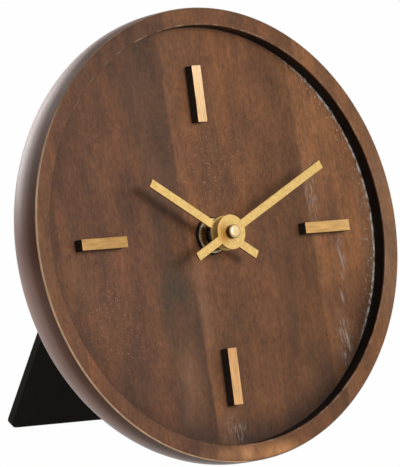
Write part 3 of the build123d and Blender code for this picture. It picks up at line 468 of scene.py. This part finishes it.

# Brass: the bars differ in tone, palest at the top of the dial, with fine brushed lines that run
# along each bar; only their faces are metal, and their sides are painted near black as shade.
brass, clock = new_material("brushed brass bar with sides painted as shade")
u, v, n = add_node(brass, "SeparateXYZ", {"Vector": clock}).outputs
toward_top = add_node(brass, "VectorMath", {0: clock, 1: (0.35, 1, 0)}, operation="DOT_PRODUCT").outputs["Value"]
foot_to_top = add_node(brass, "MapRange", {"Value": toward_top, "From Min": -60.0, "From Max": 60.0})
bar_tones = add_node(brass, "ValToRGB", {"Fac": foot_to_top}, stops=[
    (0.0, "b69066"), (0.25, "aa8458"), (0.38, "957548"), (0.5, "9e7d4c"), (0.64, "ad8b58"), (1.0, "cdb08c")])
across_bar = add_node(brass, "Math", {
    0: add_node(brass, "Math", {0: u, 1: v}, operation="ARCTAN2"), 1: mark_centre}, operation="MULTIPLY")
along_bar = add_node(brass, "CombineXYZ", {"X": across_bar, "Y": distance(brass, clock, (1, 1, 1)), "Z": n})
brushed = tint(brass, bar_tones, streaks(brass, along_bar, 0.5, 6.0, 0.5, 3.0), [(0.3, "aaa8a4"), (0.7, "cecccb")])
# only the face is bare brass; the sides are painted near black as shade
on_face = add_node(brass, "MapRange", {
    "Value": n, "From Min": mark_top - mark_edge - 0.06, "From Max": mark_top - mark_edge + 0.02})
finish_material(
    brass, add_node(brass, "MixRGB", {"Fac": on_face, "Color1": linear("0e0b09"), "Color2": brushed}),
    add_node(brass, "MapRange", {"Value": streaks(brass, along_bar, 1.0, 5.0, 1.0), "To Min": 0.5, "To Max": 0.62}),
    streaks(brass, along_bar, 0.25, 8.0, 0.25), 0.005, Metallic=on_face)
for turn, mark_name in enumerate(("mark_12", "mark_3", "mark_6", "mark_9")):
    take(first_mark)
    bpy.ops.object.duplicate()
    mark = bpy.context.object
    mark.name = "brass_" + mark_name
    mark.rotation_euler.z = -turn * pi / 2
    set_on_clock(mark)
    dress(brass, mark)
    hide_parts(mark_name)
    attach(mark, "clock")
bpy.data.objects.remove(first_mark)

# ================================ easel stand
# A steel bar 3.2 mm thick, bent once with a press brake, its corners rounded and its edges broken,
# then powder coated black. The flange is screwed to the back above the movement.
stand_width = 53.0
stand_thickness = 3.2
stand_angle = 39.8
bend_centre_v = 32.744
bend_inner_radius = 3.0
bend_segments = 10
stand_top = 52.0
straight_leg = 106.145
flange_corner = 4.0
foot_corner = 2.2
stand_edge = 0.3
stand_hole_radius = 1.8
stand_front = -case_depth
stand_back = stand_front - stand_thickness
stand = add_block(
    "easel_stand", stand_width, stand_top - bend_centre_v, stand_back, stand_front,
    (0, (stand_top + bend_centre_v) / 2))
pick(stand, "FACE", lambda middle: middle.y < bend_centre_v + touch)
bpy.ops.mesh.spin(
    steps=bend_segments, angle=-radians(stand_angle), axis=(1, 0, 0),
    center=(0, bend_centre_v, stand_back - bend_inner_radius))
down_the_leg = Vector((0, -cos(radians(stand_angle)), -sin(radians(stand_angle))))
bpy.ops.mesh.extrude_region_move(TRANSFORM_OT_translate={"value": down_the_leg * straight_leg})
beside_stand = stand_width / 2 - touch
foot_v = bend_centre_v + down_the_leg.y * straight_leg
round_edges(
    stand, flange_corner, 8, lambda middle: middle.y > stand_top - touch and abs(middle.x) > beside_stand)
round_edges(stand, foot_corner, 6, lambda middle: middle.y < foot_v and abs(middle.x) > beside_stand)
soften(stand, stand_edge)
for place in screw_places:
    drill(stand, stand_hole_radius, stand_back, stand_front, place, 32)
set_on_clock(stand)


def plain_material(name, tone_marks, tones, sheen_marks, roughness, relief_marks, relief, **shader_inputs):
    """A material whose tone, roughness and relief each vary in streaks of their own kind."""
    material, clock = new_material(name)
    low, high = roughness
    finish_material(
        material, add_node(material, "ValToRGB", {"Fac": streaks(material, clock, *tone_marks)}, stops=tones),
        add_node(material, "MapRange", {
            "Value": streaks(material, clock, *sheen_marks), "To Min": low, "To Max": high}),
        streaks(material, clock, *relief_marks), relief, **shader_inputs)
    return material


# Black powder coat: nearly black and matt, with a fine pebbled skin that scatters a little light
# and a few paler rub marks.
coat = plain_material(
    "black powder-coated steel", (9.0, 14.0, 9.0, 4.0), [(0.35, "181613"), (0.65, "1f1d1a")],
    (3.0, 3.0, 3.0, 3.0), (0.5, 0.62), (0.5, 0.5, 0.5, 1.0), 0.03, Specular_IOR_Level=0.04)
dress(coat, stand)
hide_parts("stand")
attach(stand, "clock")

# ================================ stand screws
# Two steel wood screws with domed heads and a cross recess, blackened in hot oil. They hold the
# stand's flange to the back of the case.
head_radius = 3.5
head_height = 2.2
head_bevel = 0.9
head_edge = 0.08
shank_radius = 1.55
shank_length = 8.7
shank_taper = 1.2
cross_width = 0.9
cross_length = 4.2
cross_depth = 1.1
head_back = stand_back - head_height
shank_end = stand_front + shank_length
place = screw_places[0]
screw = add_disc("stand_screws", head_radius, head_back, stand_back, place, 64)
round_edges(screw, head_bevel, 5, lambda middle: middle.z < head_back + touch)
for width, height in ((cross_width, cross_length), (cross_length, cross_width)):
    combine(screw, add_block("driver", width, height, head_back - overshoot, head_back + cross_depth, place))
soften(screw, head_edge)
shank = add_disc("shank", shank_radius, stand_back - 0.5, shank_end, place, 32)
round_edges(shank, shank_taper, 3, lambda middle: middle.z > shank_end - touch)
combine(screw, shank, "UNION")
take(screw)
bpy.ops.object.duplicate()
bpy.context.object.location.x = 2 * screw_half_spacing
screw.select_set(True)
bpy.context.view_layer.objects.active = screw
bpy.ops.object.join()
set_on_clock(screw)

# Oil-blackened steel: a dark grey with brown in it, satin, worn to bare metal in tiny spots.
oxide = plain_material(
    "blackened steel screw", (0.8, 0.8, 0.8, 4.0), [(0.35, "1d1a18"), (0.62, "2a2725"), (0.75, "4a4643")],
    (0.6, 0.6, 0.6), (0.3, 0.48), (0.3, 0.3, 0.3), 0.01, Metallic=0.6)
dress(oxide, screw)
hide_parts("stand_screws")
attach(screw, "clock")

# ================================ rubber washer
# A flat ring punched from black rubber sheet. It lies on the dial under the brass washer and
# keeps the nut from marking the wood.
washer_radius = 6.3
washer_hole_radius = 3.95
washer_edge = 0.12
rubber_top = -4.3
washer = add_disc("rubber_washer_piece", washer_radius, -recess_depth, rubber_top)
drill(washer, washer_hole_radius, -recess_depth, rubber_top)
soften(washer, washer_edge)
set_on_clock(washer)

# Rubber: soft black with a dusty bloom, no shine.
rubber = plain_material(
    "black sheet rubber", (0.7, 0.7, 0.7, 4.0), [(0.4, "0b0a0a"), (0.7, "1e1b19")],
    (0.5, 0.5, 0.5), (0.7, 0.85), (0.2, 0.2, 0.2), 0.01, Specular_IOR_Level=0.2)
dress(rubber, washer)
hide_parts("rubber_washer")
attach(washer, "clock")

# ================================ brass washer
# A thin ring stamped from brass sheet, bright plated, that spreads the nut's pressure.
plate_radius = 5.8
plate_hole_radius = 3.95
plate_edge = 0.08
plate_top = -3.8
thin_washer = add_disc("brass_washer_piece", plate_radius, rubber_top, plate_top)
drill(thin_washer, plate_hole_radius, rubber_top, plate_top)
soften(thin_washer, plate_edge)
set_on_clock(thin_washer)

# Bright plating over brass: mirror-like pale gold with fine specks, its outer edge less bright.
bright, clock = new_material("bright plated brass")
rim_share = add_node(bright, "MapRange", {
    "Value": distance(bright, clock, (1, 1, 0)), "From Min": 5.1, "From Max": 5.4, "To Min": 1.0, "To Max": 0.35})
finish_material(
    bright,
    add_node(bright, "ValToRGB", {"Fac": streaks(bright, clock, 0.8, 0.8, 0.8, 4.0)}, stops=[
        (0.35, "e0c68e"), (0.65, "eedcae")]),
    add_node(bright, "MapRange", {"Value": streaks(bright, clock, 0.6, 0.6, 0.6), "To Min": 0.2, "To Max": 0.34}),
    streaks(bright, clock, 0.3, 0.3, 0.3), 0.002, Metallic=rim_share)
dress(bright, thin_washer)
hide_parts("brass_washer")
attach(thin_washer, "clock")

# ================================ mounting nut
# A hexagon nut turned from brass bar, its corners cut back by a cone in front, tightened on the
# movement's bush. It has been handled and tarnished brown.
nut_flats = 9.5
nut_top = -2.0
nut_bevel = 0.45
nut_edge = 0.06
nut_hole_radius = 3.95
nut = add_disc("hexagon_nut", nut_flats / 2 / cos(pi / 6), plate_top, nut_top, vertices=6)
cone = add_disc("corner_cone", nut_flats / 2 + nut_bevel, plate_top - overshoot, nut_top)
round_edges(cone, nut_bevel, 1, lambda middle: middle.z > nut_top - touch)
combine(nut, cone, "INTERSECT")
soften(nut, nut_edge)
drill(nut, nut_hole_radius, plate_top, nut_top)
set_on_clock(nut)

# Tarnished brass: deep brown gold, satin, in soft clouds of lighter and darker tarnish.
tarnished = plain_material(
    "tarnished brass nut", (0.9, 0.9, 0.9, 4.0), [(0.35, "3a2a18"), (0.65, "5e4526")],
    (0.5, 0.5, 0.5), (0.3, 0.5), (0.2, 0.2, 0.2), 0.01, Metallic=1.0)
dress(tarnished, nut)
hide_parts("mounting_nut")
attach(nut, "clock")

# ================================ movement housing
# A square box moulded in black plastic with the threaded bush in front. It sits in the case's
# pocket and is held there by the nut on the dial side.
# Black plastic: spark-eroded mould skin, an even fine grain that turns highlights satin.
plastic = plain_material(
    "black moulded plastic, fine texture", (12.0, 12.0, 12.0, 3.0), [(0.35, "1b1b1c"), (0.65, "222223")],
    (6.0, 6.0, 6.0, 3.0), (0.42, 0.56), (0.3, 0.3, 0.3), 0.015)
dress(plastic, cad["movement_housing"])

# ================================ rear cover
# The housing's lid, moulded in the same black plastic, with the battery's window along its lower
# side, a sunk ring round the knob's hole, two clip pockets, a plus, a minus and three finger ribs.
cover_side = 56.0
cover_front = -22.9
cover_back = -24.9
cover_corner = 3.5
cover_round = 1.4
cover_edge = 0.1
window_length = 50.4
window_height = 14.6
window_v = -19.5
knob_u = -10.392
knob_v = 6.0
stem_hole_radius = 1.26
ring_radius = 9.2
ring_width = 1.0
sunk_depth = 0.5
sign_depth = 0.3
rib_depth = 0.4
behind_cover = cover_back - overshoot
cover = add_block("rear_cover", cover_side, cover_side, cover_back, cover_front)
round_edges(cover, cover_corner, 8, lambda middle: min(abs(middle.x), abs(middle.y)) > cover_side / 2 - touch)
round_edges(cover, cover_round, 5, lambda middle: middle.z < cover_back + touch)
combine(cover, add_block(
    "window", window_length, window_height, behind_cover, cover_front + overshoot, (0, window_v)))
ring = add_disc("ring_cutter", ring_radius, behind_cover, cover_back + sunk_depth, (knob_u, knob_v))
drill(ring, ring_radius - ring_width, behind_cover, cover_back + sunk_depth, (knob_u, knob_v))
combine(cover, ring)
drill(cover, stem_hole_radius, cover_back, cover_front, (knob_u, knob_v), 48)
# two clip pockets, a plus, a minus and three ribs
for width, height, depth, place in (
        (6.0, 3.0, sunk_depth, (-17.0, 24.2)), (6.0, 3.0, sunk_depth, (17.0, 24.2)),
        (3.4, 0.7, sign_depth, (19.0, -8.4)), (0.7, 3.4, sign_depth, (19.0, -8.4)),
        (3.4, 0.7, sign_depth, (-19.0, -8.4)), (24.0, 0.9, rib_depth, (8.0, 16.0)),
        (24.0, 0.9, rib_depth, (8.0, 18.5)), (24.0, 0.9, rib_depth, (8.0, 21.0))):
    combine(cover, add_block("sunk_mark", width, height, behind_cover, cover_back + depth, place))
soften(cover, cover_edge)
set_on_clock(cover)
dress(plastic, cover)
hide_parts("movement_cover")
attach(cover, "clock")

# ================================ middle plate
# The inner plate is moulded in natural, unpigmented acetal and carries the pivots.
# Natural acetal: milky and a little translucent, with a soft waxy shine.
acetal = plain_material(
    "natural acetal", (4.0, 4.0, 4.0, 3.0), [(0.35, "d8d4c8"), (0.65, "e4e1d7")],
    (2.0, 2.0, 2.0), (0.35, 0.5), (0.4, 0.4, 0.4), 0.005, Subsurface_Weight=0.1, Subsurface_Scale=0.001)
dress(acetal, cad["middle_plate"])

# ================================ stepping motor
# A stator punched from silicon steel strip, and a coil of enamelled copper wire on its core.
# Silicon steel: grey, rolled along its length, with a slight blue oxide.
lamination = plain_material(
    "silicon steel lamination", (8.0, 0.4, 0.4, 3.0), [(0.35, "6d7076"), (0.65, "8b8e93")],
    (3.0, 0.5, 0.5), (0.3, 0.45), (6.0, 0.3, 0.3), 0.01, Metallic=1.0)
dress(lamination, cad["stator"])

# Copper winding: turns of thin wire lie side by side across the coil, glossy with enamel.
turns_per_mm = 7.0
wave_scale_per_turn = 0.314
winding, clock = new_material("enamelled copper winding")
turns = add_node(
    winding, "TexWave", {"Vector": clock, "Scale": turns_per_mm * wave_scale_per_turn, "Distortion": 0.4},
    wave_type="BANDS", bands_direction="X").outputs["Fac"]
finish_material(
    winding, add_node(winding, "ValToRGB", {"Fac": turns}, stops=[(0.0, "5a2410"), (0.7, "b5602f")]),
    add_node(winding, "MapRange", {"Value": turns, "To Min": 0.45, "To Max": 0.25}),
    turns, 0.03, Metallic=1.0, Coat_Weight=0.5)
dress(winding, cad["drive_coil"])

# ================================ circuit board and crystal
# A small glass-fibre board with the clock's chip under a drop of black resin, and a tuning-fork
# crystal in a tin-plated can beside it.
# Board: green lacquer over woven glass, the weave just visible.
laminate, clock = new_material("green board laminate")
weave = add_node(laminate, "TexChecker", {"Vector": clock, "Scale": 1.6}).outputs["Fac"]
board_noise = streaks(laminate, clock, 1.5, 1.5, 1.5, 3.0)
finish_material(
    laminate,
    add_node(laminate, "MixRGB", {"Fac": weave, "Color1": linear("1f4a2c"), "Color2": linear("27562f")}),
    add_node(laminate, "MapRange", {"Value": board_noise, "To Min": 0.25, "To Max": 0.4}), board_noise, 0.01)
dress(laminate, cad["circuit_board"])

# Crystal can: drawn tin-plated sheet, soft bright grey.
can = plain_material(
    "tin-plated crystal can", (0.4, 2.0, 0.4, 3.0), [(0.35, "a9aaac"), (0.65, "c6c7c9")],
    (0.5, 1.5, 0.5), (0.2, 0.35), (0.3, 1.0, 0.3), 0.005, Metallic=1.0)
dress(can, cad["quartz_crystal"])

# ================================ battery
# An AA cell: a drawn steel can in a shrunk plastic jacket that rolls over both ends, plain black
# with a copper band at the plus end, and a bright nub that presses on the flat contact.
cell_radius = 7.1
cell_left = -24.0
cell_right = 25.2
cell_tip = 26.4
cell_v = -19.5
cell_n = -17.2
cell_edge_round = 0.5
jacket_overlap = 0.9
nub_radius = 2.7
nub_round = 0.4
cell_middle = (cell_left + cell_right) / 2
half_cell = (cell_right - cell_left) / 2
cell = add_disc("aa_battery", cell_radius, cell_left, cell_right)
round_edges(cell, cell_edge_round, 4, lambda middle: abs(middle.z - cell_middle) > half_cell - touch)
pick(cell, "FACE", lambda middle: abs(middle.z - cell_middle) > half_cell - touch)
bpy.ops.mesh.inset(thickness=jacket_overlap)
nub = add_disc("nub", nub_radius, cell_right - 0.5, cell_tip, vertices=64)
round_edges(nub, nub_round, 4, lambda middle: middle.z > cell_tip - touch)
combine(cell, nub, "UNION")
cell.rotation_euler.y = pi / 2
cell.location = (0, cell_v, cell_n)
set_on_clock(cell)

# The jacket is glossy printed film with faint ripples; the bare ends are bright nickel plate.
jacket, clock = new_material("battery jacket and nickel ends")
from_cell = add_node(jacket, "VectorMath", {0: clock, 1: (0, cell_v, cell_n)}, operation="SUBTRACT")
along_cell = add_node(jacket, "SeparateXYZ", {"Vector": from_cell}).outputs["X"]
end_to_end = add_node(jacket, "MapRange", {"Value": along_cell, "From Min": cell_left, "From Max": cell_right})
bands = add_node(jacket, "ValToRGB", {"Fac": end_to_end}, stops=[
    (0.0, "17171a"), (0.69, "1c1c20"), (0.7, "a5632f"), (1.0, "b87238")])
film_noise = streaks(jacket, clock, 5.0, 2.0, 2.0, 3.0)
filmed = tint(jacket, bands, film_noise, [(0.3, "b4b4b4"), (0.7, "c4c4c4")])
bare = add_node(jacket, "MapRange", {
    "Value": distance(jacket, from_cell, (0, 1, 1)), "From Min": 5.75, "From Max": 5.7})
finish_material(
    jacket, paint(jacket, filmed, "b9b6ae", bare),
    add_node(jacket, "MapRange", {"Value": film_noise, "To Min": 0.18, "To Max": 0.3}),
    film_noise, 0.02, Metallic=bare)
dress(jacket, cell)
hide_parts("battery")
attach(cell, "clock")

# ================================ battery contacts
# Two strips of spring steel, nickel plated: a flat one at the plus end, and one bent to a shallow
# peak that presses on the cell's other end.
# Nickel plate: bright warm grey, with fine marks along the rolled strip.
nickel = plain_material(
    "nickel-plated spring strip", (0.4, 5.0, 0.4, 3.0), [(0.35, "aaa69c"), (0.65, "c4c0b6")],
    (0.5, 4.0, 0.5), (0.2, 0.32), (0.2, 4.0, 0.2), 0.005, Metallic=1.0)
dress(nickel, cad["positive_contact"], cad["negative_contact"])

# ================================ going train
# The rotor, a small round magnet with a moulded pinion, and four moulded wheels that carry its
# steps to the minute arbor. The wheels and pinions are the same natural acetal as the plate.
dress(acetal, cad["centre_wheel"], cad["third_wheel"], cad["second_wheel"], cad["intermediate_wheel"])
# Ferrite magnet and pinion: dull charcoal, slightly grainy.
ferrite = plain_material(
    "ferrite rotor", (0.4, 0.4, 0.4, 4.0), [(0.35, "2c2b2d"), (0.65, "3b3a3c")],
    (0.6, 0.6, 0.6), (0.5, 0.65), (0.2, 0.2, 0.2), 0.01)
dress(ferrite, cad["rotor"])

# ================================ minute arbor and motion work
# A brass arbor turned in one piece with its cannon pinion, the moulded hour wheel on its pipe,
# and the moulded setting stem that meshes with both.
# Turned brass: fine rings round the shaft, satin gold.
turned = plain_material(
    "turned brass arbor", (8.0, 8.0, 0.15, 3.0), [(0.35, "bb944c"), (0.65, "d4b06a")],
    (8.0, 8.0, 0.2), (0.25, 0.4), (8.0, 8.0, 0.1), 0.005, Metallic=1.0)
dress(turned, cad["minute_arbor"])
dress(acetal, cad["hour_wheel"], cad["setting_stem"])

# ================================ hour hand
# Punched from brass sheet 0.8 mm thick: a straight bar with square ends and a round hub, pressed
# over a turned collet that grips the hour wheel's pipe.
hand_width = 2.85
hub_radius = 5.8
hand_edge = 0.1
hour_low = 2.0
hour_high = 2.8
hour_tail = -14.7
hour_reach = 33.8
hour_angle = radians(302.9)
collet_radius = 3.2
collet_low = -0.1
collet_top = 2.3
pipe_radius = 2.5


def punch_hand(name, low, high, tail, reach):
    """A flat bar that points at twelve, with a round hub on the axis and broken edges."""
    hand = add_disc(name, hub_radius, low, high)
    combine(hand, add_block("bar", hand_width, reach - tail, low, high, (0, (reach + tail) / 2)), "UNION")
    modify(hand, "DECIMATE", decimate_type="DISSOLVE", angle_limit=radians(1))
    soften(hand, hand_edge)
    return hand


hour_hand = punch_hand("hour_hand_piece", hour_low, hour_high, hour_tail, hour_reach)
combine(hour_hand, add_disc("collet", collet_radius, collet_low, collet_top, vertices=64), "UNION")
drill(hour_hand, pipe_radius, collet_low, hour_high, vertices=64)
hour_hand.rotation_euler.z = -hour_angle
set_on_clock(hour_hand)

# Satin brass: warm gold in faint clouds, painted shadow in orange-brown beside the nut, painted light
# in brighter gold where the front hub hides the hub behind it, and pale and worn at the collet's foot.
sheet, clock = new_material("satin brass hands")
gold = add_node(sheet, "ValToRGB", {"Fac": streaks(sheet, clock, 1.2, 1.2, 1.2, 4.0)}, stops=[
    (0.35, "b3945a"), (0.65, "c0a368")])
out = add_node(sheet, "SeparateXYZ", {"Vector": clock}).outputs["Z"]
on_front_hand = add_node(sheet, "MapRange", {"Value": out, "From Min": 4.0, "From Max": 4.5})
# painted shadow of the nut: orange-brown on the front hand's hub
nut_shadow_painted = paint(sheet, gold, "9c6e2c", patch(sheet, clock, (-3.3, -0.6), 7.0, 11.0), on_front_hand)
# painted light: brighter gold on the rear hub, where the front hub shades it
behind_hub = add_node(
    sheet, "Math", {0: patch(sheet, clock, (-3.5, -1.0), 18.0, 18.0), 1: on_front_hand},
    operation="SUBTRACT", use_clamp=True)
hub_painted_lit = paint(sheet, nut_shadow_painted, "ffe08a", behind_hub)
collet_foot = add_node(sheet, "MapRange", {"Value": out, "From Min": 0.45, "From Max": 0.25})
unlacquered = add_node(sheet, "MapRange", {"Value": collet_foot, "To Min": 1.0, "To Max": 0.3})
finish_material(
    sheet, paint(sheet, hub_painted_lit, "ead9ac", collet_foot),
    add_node(sheet, "MapRange", {"Value": streaks(sheet, clock, 1.5, 1.5, 1.5), "To Min": 0.5, "To Max": 0.6}),
    streaks(sheet, clock, 0.3, 0.3, 0.3), 0.004, Metallic=unlacquered)
dress(sheet, hour_hand)
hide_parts("hour_hand")
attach(hour_hand, "hour_work")

# ================================ minute hand
# Punched from the same sheet, longer, with its hub pressed on the arbor's thinner tip.
minute_low = 5.2
minute_high = 6.0
minute_tail = -16.9
minute_reach = 46.4
minute_angle = radians(63.9)
tip_radius = 1.3
minute_hand = punch_hand("minute_hand_piece", minute_low, minute_high, minute_tail, minute_reach)
drill(minute_hand, tip_radius, minute_low, minute_high, vertices=48)
minute_hand.rotation_euler.z = -minute_angle
set_on_clock(minute_hand)
dress(sheet, minute_hand)
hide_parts("minute_hand")
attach(minute_hand, "minute_work")

# ================================ hand nut
# A closed nut with a crowned end, turned from brass and polished. It holds the minute hand on.
crown_low = 6.0
crown_high = 8.4
crown_radius = 2.3
crown_round = 0.9
crown_hole_depth = 1.3
crown = add_disc("closed_hand_nut", crown_radius, crown_low, crown_high, vertices=64)
round_edges(crown, crown_round, 7, lambda middle: middle.z > crown_high - touch)
combine(crown, add_disc(
    "blind_hole", tip_radius, crown_low - overshoot, crown_low + crown_hole_depth, vertices=48))
set_on_clock(crown)

# Polished brass: paler and shinier than the hands on its end, with fine turning rings, and its
# side painted dark as shade where it meets the hand.
polished, clock = new_material("polished brass nut")
ringed = add_node(polished, "ValToRGB", {"Fac": streaks(polished, clock, 5.0, 5.0, 0.2, 3.0)}, stops=[
    (0.35, "ccae7a"), (0.65, "dcc195")])
# painted shade on the nut's side, darkest where it meets the hand
shaded_side = add_node(polished, "MapRange", {
    "Value": add_node(polished, "SeparateXYZ", {"Vector": clock}).outputs["Z"], "From Min": 8.1, "From Max": 7.3})
finish_material(
    polished, paint(polished, ringed, "4a3a20", shaded_side),
    add_node(polished, "MapRange", {"Value": streaks(polished, clock, 5.0, 5.0, 0.2), "To Min": 0.3, "To Max": 0.4}),
    streaks(polished, clock, 5.0, 5.0, 0.15), 0.004, Metallic=1.0)
dress(polished, crown)
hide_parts("hand_nut")
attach(crown, "minute_work")

# ================================ setting knob
# Moulded in black plastic and pressed on the stem behind, with V grooves round its edge for the
# fingers and a shallow dish in its end.
knob_radius = 6.5
knob_low = -28.7
knob_high = -25.3
knob_edge = 0.12
groove_count = 24
groove_depth = 0.6
dish_radius = 4.7
dish_depth = 0.6
dish_round = 0.4
knob_middle = (knob_low + knob_high) / 2
knob = add_disc("grooved_knob", knob_radius, knob_low, knob_high, vertices=4 * groove_count)
pick(
    knob, "EDGE",
    lambda middle: abs(middle.z - knob_middle) < touch
    and round(atan2(middle.y, middle.x) / (pi / groove_count / 2)) % 4 == 0)
groove_share = 1 - groove_depth / knob_radius
bpy.ops.transform.resize(value=(groove_share, groove_share, 1), center_override=(0, 0, knob_middle))
soften(knob, knob_edge)
dish = add_disc("dish_cutter", dish_radius, knob_low - overshoot, knob_low + dish_depth)
round_edges(dish, dish_round, 3, lambda middle: middle.z > knob_low)
combine(knob, dish)
knob.location = (knob_u, knob_v, 0)
set_on_clock(knob)
dress(plastic, knob)
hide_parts("setting_knob")
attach(knob, "setting_work")

# ================================ stage
# A plain white sweep of paper under and behind the clock, a soft lamp in front of the dial, a
# larger one behind and above the clock, and an even white room.
floor_size = 8.0
paper_seen = 0.985
bpy.ops.object.select_all(action="DESELECT")
bpy.ops.mesh.primitive_plane_add(size=floor_size)
floor = bpy.context.object
floor.name = "paper_floor"


def looked_at(material):
    """1 where a ray comes from the camera or from a shiny surface."""
    rays = add_node(material, "LightPath").outputs
    return add_node(material, "Math", {0: rays["Is Camera Ray"], 1: rays["Is Glossy Ray"]}, operation="MAXIMUM")


paper, _ = new_material("white paper sweep")
glow_share = add_node(paper, "Math", {0: looked_at(paper), 1: paper_seen}, operation="MULTIPLY")
paper_surface = add_node(paper, "BsdfDiffuse", {"Color": linear("f4f4f4")})
paper_glow = add_node(paper, "Emission", {"Color": linear("ffffff"), "Strength": 1.0})
paper_mix = add_node(paper, "MixShader", {0: glow_share, 1: paper_surface, 2: paper_glow})
add_node(paper, "OutputMaterial", {"Surface": paper_mix})
dress(paper, floor)


def add_lamp(name, size, power, direction, distance):
    """A square soft lamp that looks at the middle of the dial from a direction in the clock's axes."""
    out = (leaned @ Vector(direction)).normalized()
    lamp = bpy.data.lights.new(name, "AREA")
    lamp.shape = "SQUARE"
    lamp.size = size
    lamp.energy = power
    lamp_stand = bpy.data.objects.new(name, lamp)
    lamp_stand.location = rim_centre + out * distance
    lamp_stand.rotation_euler = out.to_track_quat("Z", "Y").to_euler()
    bpy.context.scene.collection.objects.link(lamp_stand)


add_lamp("key_softbox", 0.45, 9.0, (0.12, 0.15, 1.0), 1.2)
add_lamp("rim_softbox", 1.0, 13.0, (-0.2, 0.5, -1.0), 1.4)

ambient_share = 0.25
world = bpy.data.worlds.new("white_room")
bpy.context.scene.world = world
world.use_nodes = True
world.node_tree.nodes.clear()
strength = add_node(world, "MapRange", {"Value": looked_at(world), "To Min": ambient_share})
sky = add_node(world, "Background", {"Color": linear("ffffff"), "Strength": strength})
add_node(world, "OutputWorld", {"Surface": sky})

# ================================ camera
# A long lens to the left of the clock and a little above it, almost without perspective.
camera_side = radians(39.11)
camera_rise = radians(8.6)
camera_roll = radians(2.52)
camera_distance = 2.7
camera_lens = 733.8
camera_shift_x = -0.0512
camera_shift_y = 0.0015
toward = Vector((-sin(camera_side) * cos(camera_rise), -cos(camera_side) * cos(camera_rise), sin(camera_rise)))
camera = bpy.data.objects.new("camera", bpy.data.cameras.new("camera"))
camera.data.sensor_fit = "HORIZONTAL"
camera.data.sensor_width = 36.0
camera.data.lens = camera_lens
camera.data.shift_x = camera_shift_x
camera.data.shift_y = camera_shift_y
camera.data.clip_end = 20.0
camera_turn = toward.to_track_quat("Z", "Y").to_matrix().to_4x4() @ Matrix.Rotation(camera_roll, 4, "Z")
camera.matrix_world = Matrix.Translation(rim_centre + toward * camera_distance) @ camera_turn
bpy.context.scene.collection.objects.link(camera)
bpy.context.scene.camera = camera
bpy.context.scene.view_settings.view_transform = "Standard"
